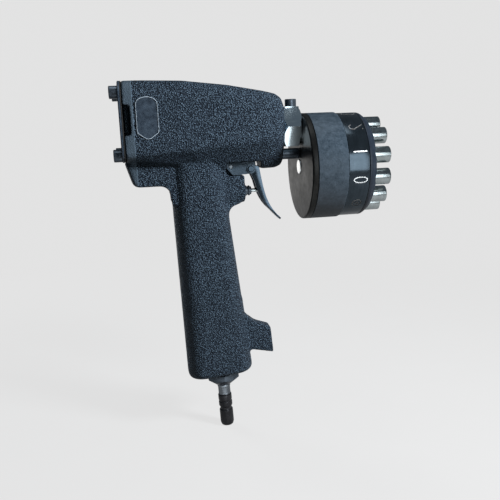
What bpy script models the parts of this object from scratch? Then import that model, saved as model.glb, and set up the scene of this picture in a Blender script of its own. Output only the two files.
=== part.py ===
"""Air-powered marking gun with a turret of twelve punches.

Frame: metres, +X the way the blow goes, +Z up the handle, +Y the gun's left side.
The origin is the middle of the grip. The strike axis runs along +X, STRIKE_HEIGHT above it.
The turret turns on a second axis, one punch circle radius below the strike axis.
"""

import math

import bmesh
import bpy
from mathutils import Matrix, Vector

# General clearances and mesh fineness
SEAT_GAP = 0.0003
RUN_GAP = 0.0003
CUT_OVERRUN = 0.002
MERGE_DISTANCE = 0.000001
BOOLEAN_SCALE = 1000
ROUND_STEPS = 16
WIDE_ROUND_STEPS = 36
SMALL_ROUND_STEPS = 10
COIL_STEPS = 6
COIL_SIDES = 3
SMOOTH_ANGLE = math.radians(32)
HALF_STEP = math.pi / (2 * ROUND_STEPS)
WIDE_HALF_STEP = math.pi / WIDE_ROUND_STEPS

# Strike line and barrel casting
STRIKE_HEIGHT = 0.115
BARREL_BACK = 0.0553
BARREL_NOSE = 0.0596
BARREL_HALF_WIDTH = 0.027
BARREL_RISE = 0.0356
BARREL_NOSE_RISE = 0.0240
BARREL_DEPTH = 0.0205
BARREL_NOSE_DEPTH = 0.0300
BARREL_TOP_RADIUS = 0.0125
BARREL_BELLY_RADIUS = 0.0060
BARREL_CREASE_RADIUS = 0.0025
CREASE_DROP = 0.0165
CREASE_NOSE_DROP = 0.0080
# Each station: share of length, of the rise's fall, of the half width, belly half width, of the depth's growth
BARREL_STATION_SHARES = (
    (0.00, 0.00, 1.00, 0.76, 0.00),
    (0.10, 0.00, 1.00, 0.76, 0.00),
    (0.36, 0.08, 1.00, 0.50, 0.55),
    (0.64, 0.40, 0.97, 0.36, 1.00),
    (0.87, 0.82, 0.92, 0.33, 1.00),
    (0.945, 1.00, 0.85, 0.32, 0.98),
    (0.982, 1.24, 0.74, 0.29, 0.80),
    (1.00, 1.60, 0.60, 0.25, 0.45),
)
FLANGE_DEPTH = 0.0075
PAD_WIDTH = 0.0155
PAD_HEIGHT = 0.0300
PAD_RELIEF = 0.0006
PAD_LIFT = 0.0100

# Handle, tail web, spur and valve boss of the casting
HANDLE_LEAN = math.radians(4.0)
HANDLE_FOOT = 0.0745
FOOT_TILT = math.radians(4.5)
HANDLE_TOP_DEPTH = 0.0416
HANDLE_FOOT_DEPTH = 0.0512
HANDLE_WIDTH = 0.034
HANDLE_CORNER_RADIUS = 0.0135
HANDLE_NECK_HEIGHT = 0.050
FOOT_EDGE_RADIUS = 0.0040
TAIL_HALF_WIDTH = 0.0130
TAIL_BACK = 0.0575
TAIL_LEAN = 0.0055
TAIL_DROP = 0.0392
TAIL_EDGE_RADIUS = 0.0050
SPUR_REACH = 0.0200
SPUR_HALF_WIDTH = 0.0060
SPUR_TOP = 0.0290
SPUR_BOTTOM = 0.0590
SPUR_EDGE = 0.0012
SPUR_FILLET = 0.0100
BOSS_RADIUS = 0.0084
BOSS_DROP = 0.0468
BOSS_FRONT = 0.0305
BOSS_FLARE = 0.0030
THROAT_RADIUS = 0.0080

# Cylinder, hammer and rear end
CYLINDER_RADIUS = 0.0140
LINER_WALL = 0.0025
LINER_FRONT = 0.0437
REAR_PLATE_THICKNESS = 0.0016
GASKET_THICKNESS = 0.0005
REAR_SCREW_HEAD_RADIUS = 0.0044
REAR_SCREW_HEAD_HEIGHT = 0.0058
REAR_SCREW_RADIUS = 0.0025
REAR_SCREW_LENGTH = 0.0160
REAR_SCREW_SIDE = 0.0198
REAR_SCREW_EDGE = 0.0080
REAR_SCREW_LOW_EDGE = 0.0050
SOCKET_DEPTH_SHARE = 0.5
SOCKET_RADIUS_SHARE = 0.56
EXHAUST_WIDTH = 0.0046
EXHAUST_HEIGHT = 0.0205
EXHAUST_LIFT = 0.0085
EXHAUST_DEPTH = 0.0080
HAMMER_STROKE = 0.030
HAMMER_BODY_LENGTH = 0.044
HAMMER_ROD_RADIUS = 0.0055
HAMMER_TIP_RADIUS = 0.0040
HAMMER_TIP_LENGTH = 0.0100
HAMMER_POCKET_DEPTH = 0.0140
HAMMER_POCKET_INNER = 0.0068
HAMMER_POCKET_OUTER = 0.0112
HAMMER_BLOW_GAP = 0.0005
PISTON_RING_WIDTH = 0.0020
PISTON_RING_DEPTH = 0.0014
BUFFER_THICKNESS = 0.0040
HAMMER_SPRING_RADIUS = 0.0090
HAMMER_SPRING_WIRE = 0.0008
HAMMER_SPRING_TURNS = 8
NOSE_BUSH_FLANGE = 0.0027
NOSE_BUSH_WALL = 0.0022
NOSE_BUSH_LENGTH = 0.0220

# Hex collar, its screw and the locating pin
COLLAR_FLATS = 0.029
COLLAR_WIDTH = 0.0122
COLLAR_SPIGOT_RADIUS = 0.0110
COLLAR_SPIGOT_LENGTH = 0.0120
COLLAR_SHOULDER_RADIUS = 0.0135
COLLAR_SHOULDER_WIDTH = 0.0015
COLLAR_CHAMFER = 0.0008
COLLAR_SCREW_HEAD_RADIUS = 0.00425
COLLAR_SCREW_HEAD_HEIGHT = 0.0056
COLLAR_SCREW_RADIUS = 0.0025
COLLAR_SCREW_SHIFT = 0.0020
COLLAR_SCREW_LENGTH = 0.0042
LOCATING_PIN_RADIUS = 0.0041
LOCATING_PIN_CLEARANCE = 0.0017
LOCATING_PIN_SOCKET = 0.0080

# Turret head: fixed carrier disc, turning sleeve, drum and front plate, twelve punches
PUNCH_COUNT = 12
PUNCH_RADIUS = 0.0060
PUNCH_WEB = 0.003788
PUNCH_RIM = 0.0095
PARKED_TURN = math.radians(15)
DISC_BACK = 0.0739
DISC_THICKNESS = 0.0080
DISC_RIM_WIDTH = 0.0042
DISC_EDGE_RADIUS = 0.0030
SLEEVE_WALL = 0.0032
SLEEVE_LENGTH = 0.0223
DRUM_BAND_DROP = 0.0009
DRUM_BAND_WIDTH = 0.0154
DRUM_SPIGOT_LENGTH = 0.0067
HUB_MARGIN = 0.0011
HUB_CLEARANCE = 0.0005
FRONT_PLATE_THICKNESS = 0.0062
FRONT_PLATE_CHAMFER = 0.0032
TURRET_BUSH_WALL = 0.0025
PUNCH_SHANK_STEP = 0.0020
PUNCH_REACH = 0.0110
PUNCH_EDGE_RADIUS = 0.0009
PUNCH_STEP_DEPTH = 0.0122
PUNCH_HEAD_STEP = 0.0006
PUNCH_HEAD_THICKNESS = 0.0015
HEAD_CLEARANCE = 0.0007
AXLE_RADIUS = 0.0050
AXLE_END_RADIUS = 0.0056
AXLE_END_PROUD = 0.0007
AXLE_FLANGE_RADIUS = 0.0090
AXLE_FLANGE_THICKNESS = 0.0022
AXLE_NUT_FLATS = 0.016
AXLE_NUT_THICKNESS = 0.0060
AXLE_WASHER_RADIUS = 0.0110
AXLE_WASHER_THICKNESS = 0.0015
AXLE_THREAD_END = 0.0010
DETENT_BALL_RADIUS = 0.0020
DETENT_INSET = 0.0055
DETENT_DEPTH = 0.0010
DIMPLE_SIDES = 5
DETENT_SPRING_WIRE = 0.00025
DETENT_SPRING_LENGTH = 0.0036
DETENT_SPRING_TURNS = 4

# Trigger, its bracket and the air valve
PIVOT_FORWARD = 0.0347
PIVOT_DROP = 0.0297
BRACKET_BACK = 0.0163
BRACKET_FRONT = 0.0383
BRACKET_TOP_DROP = 0.0245
BRACKET_HEIGHT = 0.0096
BRACKET_HALF_WIDTH = 0.0085
BRACKET_CHEEK = 0.0026
POCKET_HALF_WIDTH = 0.0150
BRACKET_BRIDGE = 0.0016
BRACKET_PIN_RADIUS = 0.0013
BRACKET_PIN_INSET = 0.0034
BRACKET_PIN_LIFT = 0.0019
PIVOT_BOSS_RADIUS = 0.0034
PIVOT_BOSS_PROUD = 0.0005
PIVOT_PIN_RADIUS = 0.0016
PIVOT_PIN_HEAD_RADIUS = 0.0024
PIVOT_PIN_HEAD = 0.0008
LEVER_SHEET = 0.0014
LEVER_LENGTH = 0.0388
LEVER_TIP_REACH = 0.0226
LEVER_DEPTH = 0.0058
LEVER_SWEEP_SHARE = 0.42
LEVER_TOP_REACH = 0.0069
VALVE_AXIS_DROP = 0.0466
VALVE_BUSH_RADIUS = 0.0039
VALVE_BUSH_REACH = 0.0050
VALVE_BUSH_LENGTH = 0.0160
VALVE_STEM_RADIUS = 0.0014
VALVE_HEAD_RADIUS = 0.0034
VALVE_HEAD_THICKNESS = 0.0030
VALVE_SEAL_THICKNESS = 0.0015
VALVE_CHAMBER_RADIUS = 0.0048
VALVE_CHAMBER_LENGTH = 0.0260
VALVE_SPRING_WIRE = 0.00035
VALVE_SPRING_TURNS = 5
AIR_PASSAGE_RADIUS = 0.0045
PORT_RADIUS = 0.0022

# Air inlet under the handle
INLET_OFFSET = 0.0015
INLET_SINK = 0.0006
INLET_LEAN = math.radians(2.6)
BUSHING_FLATS = 0.0240
BUSHING_HEIGHT = 0.0103
BUSHING_CONE = 0.0062
BUSHING_MOUTH_RADIUS = 0.0062
BUSHING_SPIGOT_RADIUS = 0.0090
BUSHING_SPIGOT_LENGTH = 0.0110
SEAL_THICKNESS = 0.0006
NECK_RADIUS = 0.0051
NECK_LENGTH = 0.0086
NECK_SPIGOT_RADIUS = 0.0040
NECK_SPIGOT_LENGTH = 0.0050
PLUG_RADIUS = 0.0054
PLUG_LENGTH = 0.0266
PLUG_GROOVE_RADIUS = 0.0046
PLUG_TAIL_RADIUS = 0.0029
PLUG_TAIL_LENGTH = 0.0040
AIR_BORE_RADIUS = 0.0019

# Places worked out from the sizes above
STRIKE_Z = STRIKE_HEIGHT
PUNCH_CIRCLE_RADIUS = (PUNCH_RADIUS + PUNCH_WEB / 2) / math.sin(math.pi / PUNCH_COUNT)
DRUM_Z = STRIKE_Z - PUNCH_CIRCLE_RADIUS
TURRET_RADIUS = PUNCH_CIRCLE_RADIUS + PUNCH_RIM
PUNCH_SHANK_RADIUS = PUNCH_RADIUS - PUNCH_SHANK_STEP
PUNCH_HEAD_RADIUS = PUNCH_RADIUS - PUNCH_HEAD_STEP
HUB_RADIUS = PUNCH_CIRCLE_RADIUS - PUNCH_HEAD_RADIUS - HUB_MARGIN
DETENT_CIRCLE_RADIUS = HUB_RADIUS - DETENT_INSET
LOCATING_PIN_DROP = COLLAR_FLATS / 2 + LOCATING_PIN_RADIUS + LOCATING_PIN_CLEARANCE
LINER_RADIUS = CYLINDER_RADIUS + LINER_WALL
BORE_RADIUS = LINER_RADIUS + SEAT_GAP
GASKET_FRONT_X = -BARREL_BACK - SEAT_GAP
PLATE_FRONT_X = GASKET_FRONT_X - GASKET_THICKNESS - SEAT_GAP
PLATE_BACK_X = PLATE_FRONT_X - REAR_PLATE_THICKNESS
COLLAR_BACK_X = BARREL_NOSE + SEAT_GAP
DISC_FRONT_X = DISC_BACK + DISC_THICKNESS
DISC_SEAM_X = DISC_BACK + DISC_RIM_WIDTH
SLEEVE_BACK_X = DISC_SEAM_X + RUN_GAP
SLEEVE_FRONT_X = SLEEVE_BACK_X + SLEEVE_LENGTH
BAND_BACK_X = SLEEVE_FRONT_X + SEAT_GAP
BAND_FRONT_X = BAND_BACK_X + DRUM_BAND_WIDTH
DRUM_BACK_X = BAND_BACK_X - DRUM_SPIGOT_LENGTH
PLATE_NEAR_X = BAND_FRONT_X + SEAT_GAP
PLATE_FAR_X = PLATE_NEAR_X + FRONT_PLATE_THICKNESS
PUNCH_TIP_X = PLATE_FAR_X + PUNCH_REACH
PUNCH_HEAD_BACK_X = DISC_FRONT_X + HEAD_CLEARANCE
HAMMER_TIP_X = PUNCH_HEAD_BACK_X - HAMMER_BLOW_GAP - HAMMER_STROKE
FOOT_Z = -HANDLE_FOOT
VALVE_Z = STRIKE_Z - VALVE_AXIS_DROP
PIVOT = Vector((PIVOT_FORWARD, 0, STRIKE_Z - PIVOT_DROP))

X_AXIS = Vector((1, 0, 0))
Y_AXIS = Vector((0, 1, 0))
Z_AXIS = Vector((0, 0, 1))

MATERIALS = {
    "cast": ((0.030, 0.036, 0.046), 0.55, 0.3),
    "black_steel": ((0.012, 0.012, 0.014), 0.30, 0.7),
    "bright_steel": ((0.62, 0.63, 0.65), 0.22, 1.0),
    "grey_steel": ((0.25, 0.28, 0.31), 0.35, 1.0),
    "matte_black": ((0.020, 0.020, 0.021), 0.60, 0.2),
    "bronze": ((0.42, 0.28, 0.13), 0.35, 1.0),
    "rubber": ((0.015, 0.015, 0.015), 0.75, 0.0),
    "gasket": ((0.16, 0.14, 0.10), 0.85, 0.0),
}


def clear_scene():
    for item in list(bpy.data.objects):
        bpy.data.objects.remove(item, do_unlink=True)


def make_material(node, look):
    colour, roughness, metallic = MATERIALS[look]
    material = bpy.data.materials.new(node)
    material.use_nodes = True
    shader = material.node_tree.nodes["Principled BSDF"]
    shader.inputs["Base Color"].default_value = (*colour, 1)
    shader.inputs["Roughness"].default_value = roughness
    shader.inputs["Metallic"].default_value = metallic
    return material


def add_node(name, mesh, look, origin=Vector(), parent=None):
    """Put a world-space mesh into the scene with its origin at the given point."""
    mesh.transform(Matrix.Translation(-origin))
    mesh.materials.clear()
    mesh.materials.append(make_material(name, look))
    for face in mesh.polygons:
        face.material_index = 0
    mesh.shade_smooth()
    mesh.set_sharp_from_angle(angle=SMOOTH_ANGLE)
    item = bpy.data.objects.new(name, mesh)
    bpy.context.scene.collection.objects.link(item)
    item.location = origin
    if parent is not None:
        item.parent = parent
        item.location = origin - parent.location
    return item


def add_joint(name, origin):
    empty = bpy.data.objects.new(name, None)
    bpy.context.scene.collection.objects.link(empty)
    empty.location = origin
    return empty


def finish_mesh(name, bm):
    bmesh.ops.remove_doubles(bm, verts=bm.verts, dist=MERGE_DISTANCE)
    bmesh.ops.recalc_face_normals(bm, faces=bm.faces)
    mesh = bpy.data.meshes.new(name)
    bm.to_mesh(mesh)
    bm.free()
    return mesh


def axis_frame(origin, axis, up=Z_AXIS):
    """Matrix whose local Z is the given axis and whose local X is as near up as it can be."""
    z = axis.normalized()
    x = up - z * up.dot(z)
    x = Y_AXIS.cross(z) if x.length < 0.5 else x
    x.normalize()
    y = z.cross(x)
    return Matrix.Translation(origin) @ Matrix((x, y, z)).transposed().to_4x4()


def revolved(name, profile, frame, steps=ROUND_STEPS, turn=0.0):
    """Spin a profile of (radius, height) points about the frame's Z axis."""
    bm = bmesh.new()
    verts = [bm.verts.new((r * math.cos(turn), r * math.sin(turn), h)) for r, h in profile]
    closed = profile[0][0] > 0 or profile[-1][0] > 0
    edges = [bm.edges.new(pair) for pair in zip(verts, verts[1:])]
    if closed:
        edges.append(bm.edges.new((verts[-1], verts[0])))
    bmesh.ops.spin(bm, geom=verts + edges, cent=(0, 0, 0), axis=(0, 0, 1), dvec=(0, 0, 0),
                   angle=math.tau, steps=steps, use_merge=True)
    bmesh.ops.transform(bm, matrix=frame, verts=bm.verts)
    return finish_mesh(name, bm)


def rod(name, radius, low, high, frame, steps=ROUND_STEPS, turn=0.0):
    return revolved(name, ((0, low), (radius, low), (radius, high), (0, high)), frame, steps, turn)


def tube(name, inner, outer, low, high, frame, steps=ROUND_STEPS, turn=0.0):
    profile = ((inner, low), (outer, low), (outer, high), (inner, high))
    return revolved(name, profile, frame, steps, turn)


def hex_prism(name, flats, low, high, frame, turn=0.0):
    corner = flats / 2 / math.cos(math.pi / 6)
    return rod(name, corner, low, high, frame, 6, turn)


def rounded_corner(before, corner, after, radius, steps):
    """Points of the arc that rounds one corner of a 2-D outline."""
    a = (before - corner).normalized()
    b = (after - corner).normalized()
    half = a.angle(b) / 2
    reach = radius / math.tan(half)
    centre = corner + (a + b).normalized() * (radius / math.sin(half))
    start = corner + a * reach - centre
    sweep = math.pi - 2 * half
    sign = 1 if a.x * b.y - a.y * b.x < 0 else -1
    points = []
    for step in range(steps + 1):
        turn = sign * sweep * step / steps
        cos, sin = math.cos(turn), math.sin(turn)
        points.append(centre + Vector((start.x * cos - start.y * sin, start.x * sin + start.y * cos)))
    return points


def rounded_outline(corners):
    """Closed 2-D outline from (u, v, radius, steps) corners; radius 0 keeps the corner sharp."""
    points = []
    for index, (u, v, radius, steps) in enumerate(corners):
        corner = Vector((u, v))
        if radius <= 0:
            points.append(corner)
            continue
        before = Vector(corners[index - 1][:2])
        after = Vector(corners[(index + 1) % len(corners)][:2])
        points.extend(rounded_corner(before, corner, after, radius, steps))
    return points


def lofted(name, rings):
    """Skin rings of equally many 3-D points and cap both ends."""
    bm = bmesh.new()
    rows = [[bm.verts.new(point) for point in ring] for ring in rings]
    for low, high in zip(rows, rows[1:]):
        count = len(low)
        for index in range(count):
            after = (index + 1) % count
            bm.faces.new((low[index], low[after], high[after], high[index]))
    bm.faces.new(rows[0])
    bm.faces.new(rows[-1])
    return finish_mesh(name, bm)


def side_plate(name, outline, near, far):
    """Extrude an outline drawn in the X-Z plane from Y = near to Y = far."""
    return lofted(name, [[(p.x, y, p.y) for p in outline] for y in (near, far)])


def bevelled_side_plate(name, outline, half_width, edge, shrink_steps=2):
    """A side plate about Y = 0 whose long edges are rounded by drawing the outline in."""
    rings = []
    middle = sum(outline, Vector((0, 0))) / len(outline)
    size = max((p - middle).length for p in outline)
    for side in (-1, 1):
        turns = [step / shrink_steps for step in range(shrink_steps + 1)]
        for share in turns if side < 0 else reversed(turns):
            angle = share * math.pi / 2
            inset = edge * (1 - math.sin(angle))
            y = side * (half_width - edge + edge * math.cos(angle))
            scale = 1 - inset / size
            rings.append([((middle + (p - middle) * scale).x, y, (middle + (p - middle) * scale).y)
                          for p in outline])
    return lofted(name, rings)


def coil(name, radius, wire, length, turns, frame, points_per_turn=COIL_STEPS, sides=COIL_SIDES):
    """One unbroken helical wire from height 0 to length, with its ends cut square."""
    count = turns * points_per_turn
    rise = (length - 2 * wire) / count
    rings = []
    for step in range(count + 1):
        turn = math.tau * step / points_per_turn
        out = Vector((math.cos(turn), math.sin(turn), 0))
        centre = out * radius + Z_AXIS * (wire + rise * step)
        ring = []
        for side in range(sides):
            angle = math.tau * (side + 0.5) / sides
            ring.append(frame @ (centre + out * (wire * math.cos(angle)) + Z_AXIS * (wire * math.sin(angle))))
        rings.append(ring)
    return lofted(name, rings)


def in_triangles(mesh):
    """Split faces with holes into triangles, which the next Boolean reads safely."""
    bm = bmesh.new()
    bm.from_mesh(mesh)
    bmesh.ops.triangulate(bm, faces=[face for face in bm.faces if len(face.verts) > 4])
    bm.to_mesh(mesh)
    bm.free()
    return mesh


def boolean(mesh, tool, operation):
    """Combine two meshes with an exact Boolean, enlarged while it works, and give a new mesh."""
    grow = Matrix.Scale(BOOLEAN_SCALE, 4)
    mesh.transform(grow)
    tool.transform(grow)
    first = bpy.data.objects.new("boolean_base", mesh)
    second = bpy.data.objects.new("boolean_tool", tool)
    for item in (first, second):
        bpy.context.scene.collection.objects.link(item)
    modifier = first.modifiers.new("combine", "BOOLEAN")
    modifier.operation = operation
    modifier.solver = "EXACT"
    modifier.object = second
    graph = bpy.context.evaluated_depsgraph_get()
    result = bpy.data.meshes.new_from_object(first.evaluated_get(graph))
    for item in (first, second):
        bpy.data.objects.remove(item, do_unlink=True)
    result.transform(grow.inverted())
    return in_triangles(result)


def joined(mesh, *tools):
    for tool in tools:
        mesh = boolean(mesh, tool, "UNION")
    return mesh


def cut(mesh, *tools):
    for tool in tools:
        mesh = boolean(mesh, tool, "DIFFERENCE")
    return mesh


def kept_inside(mesh, tool):
    return boolean(mesh, tool, "INTERSECT")


def strike_frame(x=0.0):
    """Local Z along +X on the strike axis, local X up."""
    return axis_frame(Vector((x, 0, STRIKE_Z)), X_AXIS)


def drum_frame(x=0.0):
    return axis_frame(Vector((x, 0, DRUM_Z)), X_AXIS)


def punch_place(index, radius=PUNCH_CIRCLE_RADIUS):
    """Centre of a punch on the circle, parked half a step off the strike axis."""
    turn = PARKED_TURN + math.tau * index / PUNCH_COUNT
    return Vector((0, -radius * math.sin(turn), DRUM_Z + radius * math.cos(turn)))


def handle_axis_x(z):
    return -z * math.tan(HANDLE_LEAN)


def handle_frame(offset=0.0):
    """Local Z down the handle's own axis, from the middle of the grip."""
    down = Vector((math.sin(HANDLE_LEAN), 0, -math.cos(HANDLE_LEAN)))
    return axis_frame(Vector((offset, 0, 0)), down, X_AXIS)


def mix(start, end, share):
    return start + (end - start) * share


def barrel_ring(station):
    along, fall, width, belly, growth = station
    x = mix(-BARREL_BACK, BARREL_NOSE, along)
    rise = mix(BARREL_RISE, BARREL_NOSE_RISE, fall)
    depth = mix(BARREL_DEPTH, BARREL_NOSE_DEPTH, growth)
    crease = mix(CREASE_DROP, CREASE_NOSE_DROP, along)
    half = BARREL_HALF_WIDTH * width
    low_half = BARREL_HALF_WIDTH * belly
    corners = (
        (half, rise, BARREL_TOP_RADIUS * width, 5), (-half, rise, BARREL_TOP_RADIUS * width, 5),
        (-half, -crease, BARREL_CREASE_RADIUS, 1), (-low_half, -depth, BARREL_BELLY_RADIUS * width, 3),
        (low_half, -depth, BARREL_BELLY_RADIUS * width, 3), (half, -crease, BARREL_CREASE_RADIUS, 1),
    )
    return [Vector((x, p.x, STRIKE_Z + p.y)) for p in rounded_outline(corners)]


def barrel_body():
    return lofted("barrel", [barrel_ring(station) for station in BARREL_STATION_SHARES])


def handle_ring(z, inset, tilt=0.0):
    share = (HANDLE_NECK_HEIGHT - z) / (HANDLE_NECK_HEIGHT + HANDLE_FOOT)
    half_depth = mix(HANDLE_TOP_DEPTH, HANDLE_FOOT_DEPTH, share) / 2 - inset
    half = HANDLE_WIDTH / 2 - inset
    radius = HANDLE_CORNER_RADIUS - inset
    corners = ((half_depth, half, radius, 5), (-half_depth, half, radius, 5),
               (-half_depth, -half, radius, 5), (half_depth, -half, radius, 5))
    middle = handle_axis_x(z)
    return [Vector((middle + p.x, p.y, z + p.x * math.tan(tilt))) for p in rounded_outline(corners)]


def handle_body():
    """Handle loft: straight taper, with its foot cut off at a tilt and the foot's edge rounded over."""
    rings = [handle_ring(STRIKE_Z - CREASE_DROP, 0)]
    rings.append(handle_ring(FOOT_Z + FOOT_EDGE_RADIUS, 0, FOOT_TILT))
    for angle in (math.radians(30), math.radians(60), math.radians(90)):
        inset = FOOT_EDGE_RADIUS * (1 - math.cos(angle))
        rings.append(handle_ring(FOOT_Z + FOOT_EDGE_RADIUS * (1 - math.sin(angle)), inset, FOOT_TILT))
    return lofted("handle", rings)


def handle_edge_x(z, side):
    """Where the handle's front (side 1) or back (side -1) outline lies at a height."""
    share = (HANDLE_NECK_HEIGHT - z) / (HANDLE_NECK_HEIGHT + HANDLE_FOOT)
    return handle_axis_x(z) + side * mix(HANDLE_TOP_DEPTH, HANDLE_FOOT_DEPTH, share) / 2


def tail_web():
    """Web under the barrel's back end that runs down into the back of the handle."""
    top = STRIKE_Z - CREASE_DROP
    bottom = STRIKE_Z - TAIL_DROP
    root = bottom - 2 * THROAT_RADIUS
    inner = handle_axis_x(bottom)
    ledge = STRIKE_Z - BARREL_DEPTH - 2 * SEAT_GAP
    corners = (
        (-BARREL_BACK + SEAT_GAP, top, 0, 0), (-BARREL_BACK + SEAT_GAP, ledge, 0, 0),
        (-TAIL_BACK, ledge, 0, 0), (-TAIL_BACK + TAIL_LEAN, bottom, TAIL_EDGE_RADIUS, 4),
        (handle_edge_x(bottom, -1) - SEAT_GAP, bottom, THROAT_RADIUS, 5),
        (handle_edge_x(root, -1) + SEAT_GAP, root, 0, 0), (inner, root, 0, 0), (inner, top, 0, 0),
    )
    return bevelled_side_plate("tail", rounded_outline(corners), TAIL_HALF_WIDTH, TAIL_EDGE_RADIUS)


def valve_boss():
    """Round boss for the air valve, with a fillet that runs down into the handle's front."""
    frame = axis_frame(Vector((0, 0, STRIKE_Z - BOSS_DROP)), X_AXIS)
    flare_x = handle_edge_x(STRIKE_Z - BOSS_DROP, 1)
    profile = ((0, 0), (BOSS_RADIUS + BOSS_FLARE, 0), (BOSS_RADIUS + BOSS_FLARE, flare_x - BOSS_FLARE),
               (BOSS_RADIUS + BOSS_FLARE / 3, flare_x + BOSS_FLARE / 2), (BOSS_RADIUS, flare_x + 2 * BOSS_FLARE),
               (BOSS_RADIUS, BOSS_FRONT - SPUR_EDGE / 2), (BOSS_RADIUS - SPUR_EDGE / 2, BOSS_FRONT),
               (0, BOSS_FRONT))
    boss = revolved("boss", profile, frame, WIDE_ROUND_STEPS // 2)
    top = STRIKE_Z - BOSS_DROP
    low = top - BOSS_RADIUS
    throat = low - BOSS_FLARE
    root = throat - 2 * THROAT_RADIUS
    inner = handle_axis_x(top)
    corners = (
        (inner, top, 0, 0), (inner, root, 0, 0), (handle_edge_x(root, 1) - SEAT_GAP, root, 0, 0),
        (handle_edge_x(throat, 1) + SEAT_GAP, throat, THROAT_RADIUS, 5),
        (BOSS_FRONT - BOSS_FLARE, low, 0, 0), (BOSS_FRONT - BOSS_FLARE, top, 0, 0),
    )
    web = bevelled_side_plate("throat", rounded_outline(corners), BOSS_RADIUS * 3 / 4, BOSS_RADIUS / 2)
    return joined(boss, web)


def neck_block():
    """Solid metal over the boss, up to the barrel's belly; the bracket's slot is cut through it."""
    top = STRIKE_Z - CREASE_DROP
    low = STRIKE_Z - BOSS_DROP
    back = handle_axis_x(low)
    front = BOSS_FRONT - SPUR_EDGE / 2
    corners = ((back, low, 0, 0), (front, low, 0, 0), (front, top, 0, 0), (back, top, 0, 0))
    half = BOSS_RADIUS - SEAT_GAP
    return side_plate("neck", rounded_outline(corners), -half, half)


def spur_fin():
    """Flat-sided finger rest at the foot of the handle's front."""
    root = handle_edge_x(-SPUR_TOP, 1)
    tip = root + SPUR_REACH
    drop = (SPUR_BOTTOM - SPUR_TOP)
    inner = root - SPUR_REACH / 2
    corners = (
        (inner, -SPUR_TOP + drop / 2, 0, 0), (root - SPUR_EDGE, -SPUR_TOP + drop / 2, 0, 0),
        (root, -SPUR_TOP + SPUR_EDGE / 2, SPUR_FILLET, 4),
        (root + SPUR_REACH * 0.45, -SPUR_TOP - drop * 0.23, SPUR_EDGE * 6, 3),
        (tip + SPUR_EDGE / 2, -SPUR_TOP - drop * 0.37, SPUR_EDGE, 3),
        (tip + SPUR_EDGE * 2, -SPUR_BOTTOM - drop * 0.09, SPUR_EDGE / 2, 2),
        (root + SPUR_REACH * 0.28, -SPUR_BOTTOM + drop * 0.03, 0, 0), (inner, -SPUR_BOTTOM, 0, 0),
    )
    return bevelled_side_plate("spur", rounded_outline(corners), SPUR_HALF_WIDTH, SPUR_EDGE)


def raised_pad():
    """Bare raised panel on the right side, arched above and slightly pointed below."""
    left = -BARREL_BACK + FLANGE_DEPTH + PAD_WIDTH / 16
    right = left + PAD_WIDTH
    middle = (left + right) / 2
    top = STRIKE_Z + PAD_LIFT + PAD_HEIGHT / 2
    low = top - PAD_HEIGHT
    corners = (
        (left, top, PAD_WIDTH / 4, 3), (left, low + PAD_WIDTH / 8, PAD_WIDTH / 16, 1),
        (middle, low, PAD_WIDTH / 4, 1), (right, low + PAD_WIDTH / 8, PAD_WIDTH / 16, 1),
        (right, top, PAD_WIDTH / 4, 3), (middle, top + PAD_WIDTH / 16, PAD_WIDTH / 2, 1),
    )
    face = -BARREL_HALF_WIDTH
    return side_plate("pad", rounded_outline(corners), face - PAD_RELIEF, face + PAD_RELIEF)


def rear_screw_places():
    top = STRIKE_Z + BARREL_RISE - REAR_SCREW_EDGE
    low = STRIKE_Z - BARREL_DEPTH + REAR_SCREW_LOW_EDGE
    return [Vector((0, y, z)) for y in (-REAR_SCREW_SIDE, REAR_SCREW_SIDE) for z in (top, low)]


def casting_bores():
    """Cutters for the cylinder, the collar's thread, the screws, the exhaust and the pin socket."""
    back = -BARREL_BACK - CUT_OVERRUN
    frame = strike_frame()
    thread = COLLAR_SPIGOT_RADIUS + SEAT_GAP
    floor = LINER_FRONT + SEAT_GAP
    front = BARREL_NOSE + CUT_OVERRUN
    profile = ((0, back), (BORE_RADIUS, back), (BORE_RADIUS, floor), (thread, floor), (thread, front), (0, front))
    cutters = [revolved("bore", profile, frame, WIDE_ROUND_STEPS // 2)]
    for place in rear_screw_places():
        depth = -BARREL_BACK + REAR_SCREW_LENGTH
        hole = axis_frame(place, X_AXIS)
        cutters.append(rod("screw_hole", REAR_SCREW_RADIUS + SEAT_GAP, back, depth, hole, SMALL_ROUND_STEPS))
    height = STRIKE_Z + EXHAUST_LIFT
    half = EXHAUST_HEIGHT / 2
    corners = ((back, height - half, 0, 0), (-BARREL_BACK + EXHAUST_WIDTH, height - half, EXHAUST_WIDTH / 4, 2),
               (-BARREL_BACK + EXHAUST_WIDTH, height + half, EXHAUST_WIDTH / 4, 2), (back, height + half, 0, 0))
    side = -BARREL_HALF_WIDTH
    cutters.append(side_plate("exhaust", rounded_outline(corners), side - CUT_OVERRUN, side + EXHAUST_DEPTH))
    pin = axis_frame(Vector((0, 0, STRIKE_Z - LOCATING_PIN_DROP)), X_AXIS)
    low = BARREL_NOSE - LOCATING_PIN_SOCKET
    cutters.append(rod("pin", LOCATING_PIN_RADIUS + SEAT_GAP, low, BARREL_NOSE + CUT_OVERRUN * 2, pin,
                       SMALL_ROUND_STEPS))
    return cutters


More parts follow.
